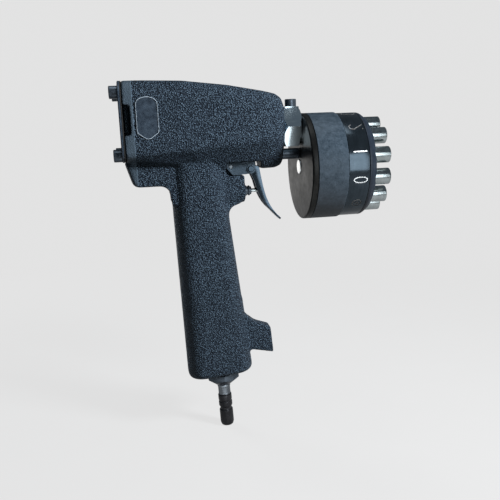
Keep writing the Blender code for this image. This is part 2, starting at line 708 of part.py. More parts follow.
def air_passages():
    """Cutters for the air way up the handle, the valve's stepped bore and the port to the cylinder."""
    valve = axis_frame(Vector((0, 0, VALVE_Z)), X_AXIS)
    chamber_front = BOSS_FRONT + VALVE_BUSH_REACH - VALVE_BUSH_LENGTH
    chamber_back = chamber_front - VALVE_CHAMBER_LENGTH
    bush = VALVE_BUSH_RADIUS + SEAT_GAP
    front = BOSS_FRONT + CUT_OVERRUN
    profile = ((0, chamber_back), (VALVE_CHAMBER_RADIUS, chamber_back), (VALVE_CHAMBER_RADIUS, chamber_front),
               (bush, chamber_front), (bush, front), (0, front))
    cutters = [revolved("valve", profile, valve, SMALL_ROUND_STEPS)]
    handle = handle_frame()
    cutters.append(rod("air_way", AIR_PASSAGE_RADIUS, -VALVE_Z + VALVE_CHAMBER_RADIUS / 2,
                       HANDLE_FOOT + CUT_OVERRUN, handle, SMALL_ROUND_STEPS))
    socket = inlet_frame()
    radius = BUSHING_SPIGOT_RADIUS + SEAT_GAP
    spot = BUSHING_FLATS / 2 / math.cos(math.pi / 6) + SEAT_GAP
    floor = -BUSHING_SPIGOT_LENGTH - SEAT_GAP
    profile = ((0, floor), (radius, floor), (radius, 0), (spot, 0), (spot, CUT_OVERRUN), (0, CUT_OVERRUN))
    cutters.append(revolved("inlet_socket", profile, socket))
    cutters.append(air_port())
    return cutters


def air_port():
    """Cutter for the port that leads from the valve chamber up into the cylinder."""
    chamber_back = BOSS_FRONT + VALVE_BUSH_REACH - VALVE_BUSH_LENGTH - VALVE_CHAMBER_LENGTH
    place = Vector((chamber_back + 2 * PORT_RADIUS, 0, VALVE_Z))
    height = VALVE_AXIS_DROP - CYLINDER_RADIUS + CUT_OVERRUN
    return rod("port", PORT_RADIUS, 0, height, axis_frame(place, Z_AXIS, X_AXIS), SMALL_ROUND_STEPS)


def bracket_pocket():
    """Cutter for the slot under the belly that takes the trigger bracket's cheeks and bridge."""
    top = STRIKE_Z - BRACKET_TOP_DROP + SEAT_GAP
    low = top - BRACKET_HEIGHT - 2 * SEAT_GAP
    back = BRACKET_BACK - SEAT_GAP
    front = BRACKET_FRONT + 2 * SEAT_GAP + PIVOT_BOSS_RADIUS
    half = POCKET_HALF_WIDTH
    inner = BRACKET_HALF_WIDTH - BRACKET_CHEEK - SEAT_GAP
    reach = back + SEAT_GAP + (BRACKET_FRONT - BRACKET_BACK) * 2 / 5
    plan = ((back, -half), (front, -half), (front, half), (back, half), (back, inner), (reach, inner),
            (reach, -inner), (back, -inner))
    cutters = [lofted("pocket", [[Vector((x, y, z)) for x, y in plan] for z in (low, top)])]
    pin = bracket_pin_frame()
    cutters.append(rod("pin_hole", BRACKET_PIN_RADIUS + SEAT_GAP, -half, half, pin, SMALL_ROUND_STEPS))
    return cutters


def bracket_pin_frame():
    top = STRIKE_Z - BRACKET_TOP_DROP
    place = Vector((BRACKET_BACK + BRACKET_PIN_INSET, 0, top - BRACKET_PIN_LIFT - BRACKET_PIN_RADIUS))
    return axis_frame(place, Y_AXIS)


def inlet_frame():
    """Origin where the inlet leaves the handle's foot, local Z down the inlet."""
    x = handle_axis_x(FOOT_Z) + INLET_OFFSET
    down = Vector((math.sin(INLET_LEAN), 0, -math.cos(INLET_LEAN)))
    return axis_frame(Vector((x, 0, FOOT_Z + INLET_SINK)), down, X_AXIS)


def build_housing():
    body = joined(barrel_body(), handle_body(), tail_web(), valve_boss(), neck_block(), spur_fin(), raised_pad())
    body = cut(body, *casting_bores(), *air_passages(), *bracket_pocket())
    add_node("housing", body, "cast")


def socket_screw(name, place, axis, head_radius, head_height, radius, length, look=None):
    """Socket cap screw standing on a face: head outwards along the axis, shank the other way."""
    frame = axis_frame(place, axis)
    edge = head_radius / 8
    profile = ((0, -length), (radius, -length), (radius, SEAT_GAP), (head_radius, SEAT_GAP),
               (head_radius, head_height - edge), (head_radius - edge, head_height), (0, head_height))
    screw = revolved(name, profile, frame, SMALL_ROUND_STEPS)
    floor = head_height * (1 - SOCKET_DEPTH_SHARE)
    socket = hex_prism("socket", 2 * head_radius * SOCKET_RADIUS_SHARE, floor, head_height + CUT_OVERRUN, frame)
    return cut(screw, socket)


def plate_outline(inset=0.0):
    """Outline of the barrel's back face in the Y-Z plane."""
    ring = barrel_ring(BARREL_STATION_SHARES[0])
    middle = sum(ring, Vector()) / len(ring)
    size = max((p - middle).length for p in ring)
    return [middle + (p - middle) * (1 - inset / size) for p in ring]


def plate_between(name, low, high, edge=0.0):
    """Flat plate with the barrel's outline between two X values, its outer edge broken."""
    places = [(high, 0.0), (low + edge, 0.0)]
    if edge > 0:
        places.append((low, edge))
    return lofted(name, [[Vector((x, p.y, p.z)) for p in plate_outline(inset)] for x, inset in places])


def build_rear_end():
    gasket = plate_between("rear_gasket", GASKET_FRONT_X - GASKET_THICKNESS, GASKET_FRONT_X)
    frame = strike_frame()
    back = PLATE_BACK_X - CUT_OVERRUN
    gasket = cut(gasket, rod("bore", CYLINDER_RADIUS, back, 0, frame))
    plate = plate_between("rear_plate", PLATE_BACK_X, PLATE_FRONT_X, REAR_PLATE_THICKNESS / 4)
    for place in rear_screw_places():
        hole = axis_frame(place, X_AXIS)
        for_screw = rod("hole", REAR_SCREW_RADIUS + SEAT_GAP, back, 0, hole, SMALL_ROUND_STEPS)
        gasket = cut(gasket, for_screw.copy())
        plate = cut(plate, for_screw)
    add_node("rear_gasket", gasket, "gasket")
    add_node("rear_plate", plate, "black_steel")
    for index, place in enumerate(rear_screw_places()):
        seat = Vector((PLATE_BACK_X, place.y, place.z))
        screw = socket_screw("rear_screw", seat, -X_AXIS, REAR_SCREW_HEAD_RADIUS, REAR_SCREW_HEAD_HEIGHT,
                             REAR_SCREW_RADIUS, REAR_SCREW_LENGTH)
        add_node(f"rear_screw_{index + 1}", screw, "black_steel", seat)


def build_cylinder():
    frame = strike_frame()
    liner = tube("cylinder_liner", CYLINDER_RADIUS, LINER_RADIUS, -BARREL_BACK + SEAT_GAP, LINER_FRONT, frame,
                 WIDE_ROUND_STEPS // 2)
    add_node("cylinder_liner", cut(liner, air_port()), "grey_steel")
    inner = HAMMER_ROD_RADIUS + RUN_GAP
    wall = inner + NOSE_BUSH_WALL
    back = LINER_FRONT - NOSE_BUSH_FLANGE
    profile = ((inner, back), (CYLINDER_RADIUS - SEAT_GAP, back), (CYLINDER_RADIUS - SEAT_GAP, LINER_FRONT),
               (wall, LINER_FRONT), (wall, back + NOSE_BUSH_LENGTH), (inner, back + NOSE_BUSH_LENGTH))
    add_node("nose_bush", revolved("nose_bush", profile, frame), "bronze")
    front = back - SEAT_GAP
    inner = HAMMER_SPRING_RADIUS + HAMMER_SPRING_WIRE + 2 * RUN_GAP
    ring = tube("front_buffer", inner, CYLINDER_RADIUS - SEAT_GAP, front - BUFFER_THICKNESS, front, frame)
    add_node("front_buffer", ring, "rubber")


def hammer_front_x():
    """Front face of the hammer's body at rest; at full stroke it just meets the buffer."""
    buffer_back = LINER_FRONT - NOSE_BUSH_FLANGE - SEAT_GAP - BUFFER_THICKNESS
    return buffer_back - SEAT_GAP - HAMMER_STROKE


def build_hammer():
    joint = add_joint("hammer_axis", Vector((0, 0, STRIKE_Z)))
    frame = strike_frame()
    front = hammer_front_x()
    back = front - HAMMER_BODY_LENGTH
    radius = CYLINDER_RADIUS - RUN_GAP
    groove = radius - PISTON_RING_DEPTH
    ring_back = back + 2 * PISTON_RING_WIDTH
    ring_front = ring_back + PISTON_RING_WIDTH + 2 * SEAT_GAP
    floor = front - HAMMER_POCKET_DEPTH
    shoulder = HAMMER_TIP_X - HAMMER_TIP_LENGTH
    edge = HAMMER_TIP_RADIUS / 6
    profile = (
        (0, back), (radius, back), (radius, ring_back), (groove, ring_back), (groove, ring_front),
        (radius, ring_front), (radius, front), (HAMMER_POCKET_OUTER, front), (HAMMER_POCKET_OUTER, floor),
        (HAMMER_POCKET_INNER, floor), (HAMMER_ROD_RADIUS, floor + HAMMER_POCKET_INNER - HAMMER_ROD_RADIUS),
        (HAMMER_ROD_RADIUS, shoulder - edge), (HAMMER_TIP_RADIUS, shoulder),
        (HAMMER_TIP_RADIUS, HAMMER_TIP_X - edge), (HAMMER_TIP_RADIUS - edge, HAMMER_TIP_X), (0, HAMMER_TIP_X),
    )
    hammer = revolved("hammer_piston", profile, frame)
    add_node("hammer_piston", hammer, "bright_steel", joint.location.copy(), joint)
    ring = tube("piston_ring", groove + SEAT_GAP, radius, ring_back + SEAT_GAP, ring_front - SEAT_GAP, frame)
    add_node("piston_ring", ring, "rubber", joint.location.copy(), joint)
    bush_back = LINER_FRONT - NOSE_BUSH_FLANGE
    length = bush_back - floor - 2 * SEAT_GAP
    spring = coil("hammer_spring", HAMMER_SPRING_RADIUS, HAMMER_SPRING_WIRE, length, HAMMER_SPRING_TURNS,
                  strike_frame(floor + SEAT_GAP))
    add_node("hammer_spring", spring, "grey_steel")


def build_collar():
    frame = strike_frame()
    front = COLLAR_BACK_X + COLLAR_WIDTH
    shoulder = DISC_BACK - SEAT_GAP
    hexagon = hex_prism("hex_collar", COLLAR_FLATS, COLLAR_BACK_X, front, frame, math.radians(30))
    corner = COLLAR_FLATS / 2 / math.cos(math.pi / 6)
    flat = COLLAR_FLATS / 2
    past = COLLAR_CHAMFER
    guard = ((0, COLLAR_BACK_X - past), (flat - past, COLLAR_BACK_X - past),
             (corner + past, COLLAR_BACK_X + corner + past - flat), (corner + past, front + past), (0, front + past))
    collar = kept_inside(hexagon, revolved("chamfer", guard, frame, 2 * ROUND_STEPS, HALF_STEP))
    spigot_back = BARREL_NOSE - COLLAR_SPIGOT_LENGTH
    waist = COLLAR_BACK_X + COLLAR_SHOULDER_WIDTH
    core = ((0, spigot_back), (COLLAR_SPIGOT_RADIUS, spigot_back), (COLLAR_SPIGOT_RADIUS, waist),
            (COLLAR_SHOULDER_RADIUS, waist), (COLLAR_SHOULDER_RADIUS, shoulder), (0, shoulder))
    collar = joined(collar, revolved("core", core, frame, ROUND_STEPS, HALF_STEP))
    bush_wall = HAMMER_ROD_RADIUS + RUN_GAP + NOSE_BUSH_WALL + SEAT_GAP
    bore = rod("bore", bush_wall, BARREL_NOSE - 2 * COLLAR_SPIGOT_LENGTH, DISC_BACK + CUT_OVERRUN, frame,
               ROUND_STEPS, HALF_STEP / 2)
    screw_x = COLLAR_BACK_X + COLLAR_WIDTH / 2 + COLLAR_SCREW_SHIFT
    top = STRIKE_Z + COLLAR_FLATS / 2
    hole = rod("hole", COLLAR_SCREW_RADIUS + SEAT_GAP, -COLLAR_SCREW_LENGTH - SEAT_GAP, CUT_OVERRUN,
               axis_frame(Vector((screw_x, 0, top)), Z_AXIS, X_AXIS), SMALL_ROUND_STEPS)
    add_node("hex_collar", cut(collar, bore, hole), "bright_steel")
    screw = socket_screw("collar_screw", Vector((screw_x, 0, top)), Z_AXIS, COLLAR_SCREW_HEAD_RADIUS,
                         COLLAR_SCREW_HEAD_HEIGHT, COLLAR_SCREW_RADIUS, COLLAR_SCREW_LENGTH)
    add_node("collar_screw", screw, "black_steel")
    pin = axis_frame(Vector((0, 0, STRIKE_Z - LOCATING_PIN_DROP)), X_AXIS)
    low = BARREL_NOSE - LOCATING_PIN_SOCKET + SEAT_GAP
    add_node("locating_pin", rod("locating_pin", LOCATING_PIN_RADIUS, low, shoulder, pin, SMALL_ROUND_STEPS + 4),
             "black_steel")


def carrier_disc():
    """Fixed disc behind the turret: round-edged rim, spigot for the sleeve, three bores."""
    frame = drum_frame()
    spigot = TURRET_RADIUS - SLEEVE_WALL - RUN_GAP
    rim = [(0, DISC_BACK)]
    for step in range(4):
        angle = math.pi / 2 * step / 3
        rim.append((TURRET_RADIUS - DISC_EDGE_RADIUS + DISC_EDGE_RADIUS * math.sin(angle),
                    DISC_BACK + DISC_EDGE_RADIUS - DISC_EDGE_RADIUS * math.cos(angle)))
    rim += [(TURRET_RADIUS, DISC_SEAM_X), (spigot, DISC_SEAM_X), (spigot, DISC_FRONT_X), (0, DISC_FRONT_X)]
    disc = revolved("carrier_disc", rim, frame, WIDE_ROUND_STEPS, WIDE_HALF_STEP)
    low, high = DISC_BACK - CUT_OVERRUN, DISC_FRONT_X + CUT_OVERRUN
    centre = rod("centre", AXLE_END_RADIUS + SEAT_GAP, low, high, frame)
    strike = rod("strike", HAMMER_TIP_RADIUS + RUN_GAP, low, high, strike_frame())
    depth = DISC_FRONT_X - DETENT_SPRING_LENGTH - 2 * DETENT_BALL_RADIUS
    pocket = rod("pocket", DETENT_BALL_RADIUS + RUN_GAP, depth, high, detent_frame(), SMALL_ROUND_STEPS)
    return cut(disc, centre, strike, pocket)


def detent_frame():
    """The detent ball sits level with the drum axis, on the right side."""
    return axis_frame(Vector((0, -DETENT_CIRCLE_RADIUS, DRUM_Z)), X_AXIS)


def detent_ball_x():
    return DISC_FRONT_X + HUB_CLEARANCE + DETENT_DEPTH - SEAT_GAP - DETENT_BALL_RADIUS


def build_detent():
    place = Vector((detent_ball_x(), -DETENT_CIRCLE_RADIUS, DRUM_Z))
    joint = add_joint("detent_axis", place)
    bm = bmesh.new()
    bmesh.ops.create_uvsphere(bm, u_segments=SMALL_ROUND_STEPS, v_segments=SMALL_ROUND_STEPS // 2,
                              radius=DETENT_BALL_RADIUS, matrix=axis_frame(place, X_AXIS))
    add_node("detent_ball", finish_mesh("detent_ball", bm), "bright_steel", place, joint)
    depth = DISC_FRONT_X - DETENT_SPRING_LENGTH - 2 * DETENT_BALL_RADIUS
    low = depth + SEAT_GAP
    length = detent_ball_x() - DETENT_BALL_RADIUS * 0.9 - low
    frame = detent_frame() @ Matrix.Translation((0, 0, low))
    spring = coil("detent_spring", DETENT_BALL_RADIUS * 0.7, DETENT_SPRING_WIRE, length, DETENT_SPRING_TURNS, frame)
    add_node("detent_spring", spring, "grey_steel")


def build_axle():
    """Shouldered axle through the disc and the turret, with washer and nut in front."""
    frame = drum_frame()
    flange_back = DISC_FRONT_X + SEAT_GAP
    flange_front = flange_back + AXLE_FLANGE_THICKNESS
    washer_back = PLATE_FAR_X + RUN_GAP
    nut_back = washer_back + AXLE_WASHER_THICKNESS + SEAT_GAP
    nut_front = nut_back + AXLE_NUT_THICKNESS
    tip = nut_front + AXLE_THREAD_END
    back = DISC_BACK - AXLE_END_PROUD
    edge = AXLE_END_PROUD / 2
    profile = (
        (0, back), (AXLE_END_RADIUS - edge, back), (AXLE_END_RADIUS, back + edge), (AXLE_END_RADIUS, flange_back),
        (AXLE_FLANGE_RADIUS, flange_back), (AXLE_FLANGE_RADIUS, flange_front), (AXLE_RADIUS, flange_front),
        (AXLE_RADIUS, tip - edge), (AXLE_RADIUS - edge, tip), (0, tip),
    )
    add_node("axle", revolved("axle", profile, frame), "bright_steel")
    washer = tube("axle_washer", AXLE_RADIUS + SEAT_GAP, AXLE_WASHER_RADIUS, washer_back,
                  washer_back + AXLE_WASHER_THICKNESS, frame)
    add_node("axle_washer", washer, "grey_steel")
    nut = hex_prism("axle_nut", AXLE_NUT_FLATS, nut_back, nut_front, frame)
    corner = AXLE_NUT_FLATS / 2 / math.cos(math.pi / 6)
    flat = AXLE_NUT_FLATS / 2
    past = corner - flat
    guard = ((0, nut_back - past), (corner + past, nut_back - past), (corner + past, nut_front - 2 * past),
             (flat - past, nut_front + past), (0, nut_front + past))
    nut = kept_inside(nut, revolved("guard", guard, frame, 2 * ROUND_STEPS, HALF_STEP))
    nut = cut(nut, rod("bore", AXLE_RADIUS + SEAT_GAP, nut_back - CUT_OVERRUN, nut_front + CUT_OVERRUN, frame))
    add_node("axle_nut", nut, "grey_steel")


def punch_bores(profile):
    """One cutter holding a turned bore for each of the punches, as separate closed bodies."""
    bm = bmesh.new()
    for index in range(PUNCH_COUNT):
        bm.from_mesh(revolved("bore", profile, axis_frame(punch_place(index), X_AXIS), SMALL_ROUND_STEPS))
    return finish_mesh("bores", bm)


def build_drum(joint):
    """Drum: hub with detent dimples, spigot inside the sleeve, numbered band, stepped punch bores."""
    frame = drum_frame()
    hub_back = DISC_FRONT_X + HUB_CLEARANCE
    spigot = TURRET_RADIUS - SLEEVE_WALL - RUN_GAP
    band = TURRET_RADIUS - DRUM_BAND_DROP
    bore = AXLE_RADIUS + RUN_GAP + TURRET_BUSH_WALL + SEAT_GAP
    counter = AXLE_FLANGE_RADIUS + RUN_GAP
    counter_floor = DISC_FRONT_X + SEAT_GAP + AXLE_FLANGE_THICKNESS + RUN_GAP
    edge = DRUM_BAND_DROP / 2
    profile = (
        (counter, hub_back), (HUB_RADIUS, hub_back), (HUB_RADIUS, DRUM_BACK_X), (spigot, DRUM_BACK_X),
        (spigot, BAND_BACK_X), (band, BAND_BACK_X), (band, BAND_FRONT_X - edge), (band - edge, BAND_FRONT_X),
        (bore, BAND_FRONT_X), (bore, counter_floor), (counter, counter_floor),
    )
    drum = revolved("turret_drum", profile, frame, WIDE_ROUND_STEPS)
    step = BAND_FRONT_X - PUNCH_STEP_DEPTH
    wide, slim = PUNCH_RADIUS + RUN_GAP, PUNCH_SHANK_RADIUS + RUN_GAP
    low, high = DRUM_BACK_X - CUT_OVERRUN, BAND_FRONT_X + CUT_OVERRUN
    bores = punch_bores(((0, low), (slim, low), (slim, step), (wide, step), (wide, high), (0, high)))
    drum = cut(drum, bores, detent_dimples(hub_back))
    add_node("turret_drum", drum, "black_steel", joint.location.copy(), joint)


def detent_dimples(face):
    """Cones for the seats of the ball: one for each punch and one half way to the next."""
    bm = bmesh.new()
    count = 2 * PUNCH_COUNT
    wide = DETENT_BALL_RADIUS * 1.05
    depth = DETENT_DEPTH * 1.25
    for index in range(count):
        turn = math.tau * index / count
        place = Vector((face, -DETENT_CIRCLE_RADIUS * math.cos(turn), DRUM_Z + DETENT_CIRCLE_RADIUS * math.sin(turn)))
        profile = ((0, -depth / 4), (wide * 5 / 4, -depth / 4), (0, depth))
        bm.from_mesh(revolved("dimple", profile, axis_frame(place, X_AXIS), DIMPLE_SIDES))
    return finish_mesh("dimples", bm)


def build_sleeve(joint):
    inner = TURRET_RADIUS - SLEEVE_WALL
    edge = SLEEVE_WALL / 8
    profile = (
        (inner, SLEEVE_BACK_X), (TURRET_RADIUS - edge, SLEEVE_BACK_X), (TURRET_RADIUS, SLEEVE_BACK_X + edge),
        (TURRET_RADIUS, SLEEVE_FRONT_X - edge), (TURRET_RADIUS - edge, SLEEVE_FRONT_X), (inner, SLEEVE_FRONT_X),
    )
    sleeve = revolved("grip_sleeve", profile, drum_frame(), WIDE_ROUND_STEPS)
    add_node("grip_sleeve", sleeve, "matte_black", joint.location.copy(), joint)


def build_front_plate(joint):
    """Front plate with the chamfered rim; the punches pass through it."""
    outer = TURRET_RADIUS - DRUM_BAND_DROP
    bore = AXLE_RADIUS + RUN_GAP + TURRET_BUSH_WALL + SEAT_GAP
    shoulder = PLATE_NEAR_X + FRONT_PLATE_THICKNESS / 3
    profile = ((bore, PLATE_NEAR_X), (outer, PLATE_NEAR_X), (outer, shoulder),
               (outer - FRONT_PLATE_CHAMFER, PLATE_FAR_X), (bore, PLATE_FAR_X))
    plate = revolved("front_plate", profile, drum_frame(), WIDE_ROUND_STEPS)
    wide = PUNCH_RADIUS + RUN_GAP
    low, high = PLATE_NEAR_X - CUT_OVERRUN, PLATE_FAR_X + CUT_OVERRUN
    bores = punch_bores(((0, low), (wide, low), (wide, high), (0, high)))
    add_node("front_plate", cut(plate, bores), "matte_black", joint.location.copy(), joint)


def build_turret_bush(joint):
    inner = AXLE_RADIUS + RUN_GAP
    low = DISC_FRONT_X + SEAT_GAP + AXLE_FLANGE_THICKNESS + RUN_GAP
    bush = tube("turret_bush", inner, inner + TURRET_BUSH_WALL, low, PLATE_FAR_X, drum_frame())
    add_node("turret_bush", bush, "bronze", joint.location.copy(), joint)


def punch_profile():
    """Outline of one punch along the turret axis: head, shank, step, working end."""
    head_front = PUNCH_HEAD_BACK_X + PUNCH_HEAD_THICKNESS
    step = BAND_FRONT_X - PUNCH_STEP_DEPTH + SEAT_GAP
    edge = PUNCH_EDGE_RADIUS
    return (
        (0, PUNCH_HEAD_BACK_X), (PUNCH_HEAD_RADIUS, PUNCH_HEAD_BACK_X), (PUNCH_HEAD_RADIUS, head_front),
        (PUNCH_SHANK_RADIUS, head_front), (PUNCH_SHANK_RADIUS, step), (PUNCH_RADIUS, step),
        (PUNCH_RADIUS, PUNCH_TIP_X - edge), (PUNCH_RADIUS - edge, PUNCH_TIP_X), (0, PUNCH_TIP_X),
    )


def build_punches(joint):
    """Twelve punches, and the rubber ring behind the drum that pushes each one back by its head."""
    for index in range(PUNCH_COUNT):
        place = punch_place(index)
        punch = revolved("punch", punch_profile(), axis_frame(place, X_AXIS), SMALL_ROUND_STEPS)
        add_node(f"punch_{index + 1:02d}", punch, "bright_steel", place, joint)
    low = PUNCH_HEAD_BACK_X + PUNCH_HEAD_THICKNESS + SEAT_GAP
    inner = PUNCH_CIRCLE_RADIUS + PUNCH_SHANK_RADIUS + RUN_GAP
    outer = TURRET_RADIUS - SLEEVE_WALL - RUN_GAP
    ring = tube("return_ring", inner, outer, low, DRUM_BACK_X - SEAT_GAP, drum_frame(), WIDE_ROUND_STEPS)
    add_node("return_ring", ring, "rubber", joint.location.copy(), joint)


def build_turret():
    joint = add_joint("turret_axis", Vector((0, 0, DRUM_Z)))
    build_drum(joint)
    build_sleeve(joint)
    build_front_plate(joint)
    build_turret_bush(joint)
    build_punches(joint)


def lever_front(share):
    """Point of the lever's finger side, from the pivot, at a share of its length."""
    sweep = LEVER_TIP_REACH - LEVER_TOP_REACH
    reach = LEVER_TOP_REACH + sweep * (LEVER_SWEEP_SHARE * share + (1 - LEVER_SWEEP_SHARE) * max(share, 0) ** 4)
    return Vector((reach, -LEVER_LENGTH * share))


def lever_depth(share):
    fade = max(0.0, 1 - (max(share, 0) / 0.85) ** 2.5)
    return LEVER_SHEET + (LEVER_DEPTH - LEVER_SHEET) * fade


def lever_offset(share, depth):
    """Point behind the finger side, square to its curve."""
    step = 0.01
    along = (lever_front(share + step) - lever_front(share - step)).normalized()
    return lever_front(share) + Vector((along.y, -along.x)) * depth


def lever_mesh():
    half = BRACKET_HALF_WIDTH - BRACKET_CHEEK - RUN_GAP
    ear = PIVOT_DROP - BRACKET_TOP_DROP - BRACKET_BRIDGE - RUN_GAP
    shares = [-0.04 + 1.04 * step / 12 for step in range(13)]
    outline = [lever_front(share) for share in shares]
    outline += [lever_offset(share, lever_depth(share)) for share in reversed(shares[3:])]
    outline += [Vector((0, -ear * 0.95)), Vector((0, ear * 0.6))]
    outline = [p + Vector((PIVOT.x, PIVOT.z)) for p in outline]
    lever = side_plate("lever", outline, -half, half)
    frame = axis_frame(PIVOT, Y_AXIS)
    lever = joined(lever, rod("ear", ear, -half, half, frame))
    shares = [-0.2] + shares[1:10]
    channel = [lever_offset(share, LEVER_SHEET) for share in shares]
    back = -2 * ear
    channel += [Vector((back, channel[-1].y)), Vector((back, channel[0].y))]
    channel = [p + Vector((PIVOT.x, PIVOT.z)) for p in channel]
    inner = half - LEVER_SHEET
    lever = cut(lever, side_plate("channel", channel, -inner, inner))
    return cut(lever, rod("pivot", PIVOT_PIN_RADIUS + RUN_GAP, -2 * half, 2 * half, frame, SMALL_ROUND_STEPS))


def build_trigger():
    joint = add_joint("trigger_axis", PIVOT.copy())
    add_node("trigger_lever", lever_mesh(), "bright_steel", PIVOT.copy(), joint)
    reach = BRACKET_HALF_WIDTH + PIVOT_BOSS_PROUD
    frame = axis_frame(PIVOT, Y_AXIS)
    radius, head = PIVOT_PIN_RADIUS, PIVOT_PIN_HEAD_RADIUS
    low, high = reach + SEAT_GAP, reach + SEAT_GAP + PIVOT_PIN_HEAD
    edge = PIVOT_PIN_HEAD / 2
    profile = ((0, -high), (head - edge, -high), (head, -high + edge), (head, -low), (radius, -low), (radius, low),
               (head, low), (head, high - edge), (head - edge, high), (0, high))
    add_node("trigger_pin", revolved("trigger_pin", profile, frame, SMALL_ROUND_STEPS + 2), "bright_steel")


def build_bracket():
    """Clevis under the barrel: two cheeks and a bridge, with a raised ring round the pivot."""
    top = STRIKE_Z - BRACKET_TOP_DROP
    low = top - BRACKET_HEIGHT
    length = BRACKET_FRONT - BRACKET_BACK
    corners = (
        (BRACKET_BACK, top, 0, 0), (BRACKET_BACK, top - BRACKET_HEIGHT * 0.4, BRACKET_CHEEK / 2, 2),
        (BRACKET_BACK + length * 0.22, low, BRACKET_CHEEK / 2, 2),
        (BRACKET_FRONT, low + BRACKET_HEIGHT * 0.1, PIVOT_BOSS_RADIUS, 5), (BRACKET_FRONT, top, 0, 0),
    )
    outline = rounded_outline(corners)
    body = side_plate("bracket", outline, -BRACKET_HALF_WIDTH, BRACKET_HALF_WIDTH)
    frame = axis_frame(PIVOT, Y_AXIS)
    reach = BRACKET_HALF_WIDTH + PIVOT_BOSS_PROUD
    body = joined(body, rod("ring", PIVOT_BOSS_RADIUS, -reach, reach, frame))
    inner = BRACKET_HALF_WIDTH - BRACKET_CHEEK
    roof = top - BRACKET_BRIDGE
    back, front = BRACKET_BACK - CUT_OVERRUN, BRACKET_FRONT + CUT_OVERRUN
    mouth = BRACKET_BACK + length * 2 / 5 + SEAT_GAP
    bottom = low - BRACKET_HEIGHT
    corners = ((back, bottom, 0, 0), (front, bottom, 0, 0), (front, roof, 0, 0), (mouth, roof, 0, 0),
               (mouth, top + CUT_OVERRUN, 0, 0), (back, top + CUT_OVERRUN, 0, 0))
    body = cut(body, side_plate("gap", rounded_outline(corners), -inner, inner))
    body = cut(body, rod("pivot", PIVOT_PIN_RADIUS + SEAT_GAP, -2 * reach, 2 * reach, frame, SMALL_ROUND_STEPS))
    pin = bracket_pin_frame()
    body = cut(body, rod("pin", BRACKET_PIN_RADIUS + SEAT_GAP, -2 * reach, 2 * reach, pin, SMALL_ROUND_STEPS))
    add_node("trigger_bracket", body, "cast")
    half = BRACKET_HALF_WIDTH
    add_node("bracket_pin", rod("bracket_pin", BRACKET_PIN_RADIUS, -half, half, pin, SMALL_ROUND_STEPS), "grey_steel")


def build_valve():
    frame = axis_frame(Vector((0, 0, VALVE_Z)), X_AXIS)
    inner = VALVE_STEM_RADIUS + RUN_GAP
    front = BOSS_FRONT + VALVE_BUSH_REACH
    back = front - VALVE_BUSH_LENGTH
    edge = VALVE_BUSH_RADIUS / 8
    profile = ((inner, back), (VALVE_BUSH_RADIUS, back), (VALVE_BUSH_RADIUS, front - edge),
               (VALVE_BUSH_RADIUS - edge, front), (inner, front))
    add_node("valve_bush", revolved("valve_bush", profile, frame, SMALL_ROUND_STEPS), "black_steel")
    seal_front = back - SEAT_GAP
    head_front = seal_front - VALVE_SEAL_THICKNESS - SEAT_GAP
    head_back = head_front - VALVE_HEAD_THICKNESS
    share = (VALVE_AXIS_DROP - PIVOT_DROP) / LEVER_LENGTH
    tip = PIVOT.x + lever_offset(share, LEVER_SHEET).x - 2 * RUN_GAP
    joint = add_joint("valve_axis", Vector((0, 0, VALVE_Z)))
    profile = ((0, head_back), (VALVE_HEAD_RADIUS, head_back), (VALVE_HEAD_RADIUS, head_front),
               (VALVE_STEM_RADIUS, head_front), (VALVE_STEM_RADIUS, tip), (0, tip))
    stem = revolved("valve_stem", profile, frame, SMALL_ROUND_STEPS)
    add_node("valve_stem", stem, "bright_steel", joint.location.copy(), joint)
    seal = tube("valve_seal", inner, VALVE_HEAD_RADIUS, head_front + SEAT_GAP, seal_front, frame, SMALL_ROUND_STEPS)
    add_node("valve_seal", seal, "rubber", joint.location.copy(), joint)
    chamber_back = back - VALVE_CHAMBER_LENGTH
    length = head_back - chamber_back - 2 * SEAT_GAP
    spring = coil("valve_spring", VALVE_HEAD_RADIUS - VALVE_SPRING_WIRE, VALVE_SPRING_WIRE, length,
                  VALVE_SPRING_TURNS, frame @ Matrix.Translation((0, 0, chamber_back + SEAT_GAP)))
    add_node("valve_spring", spring, "grey_steel")


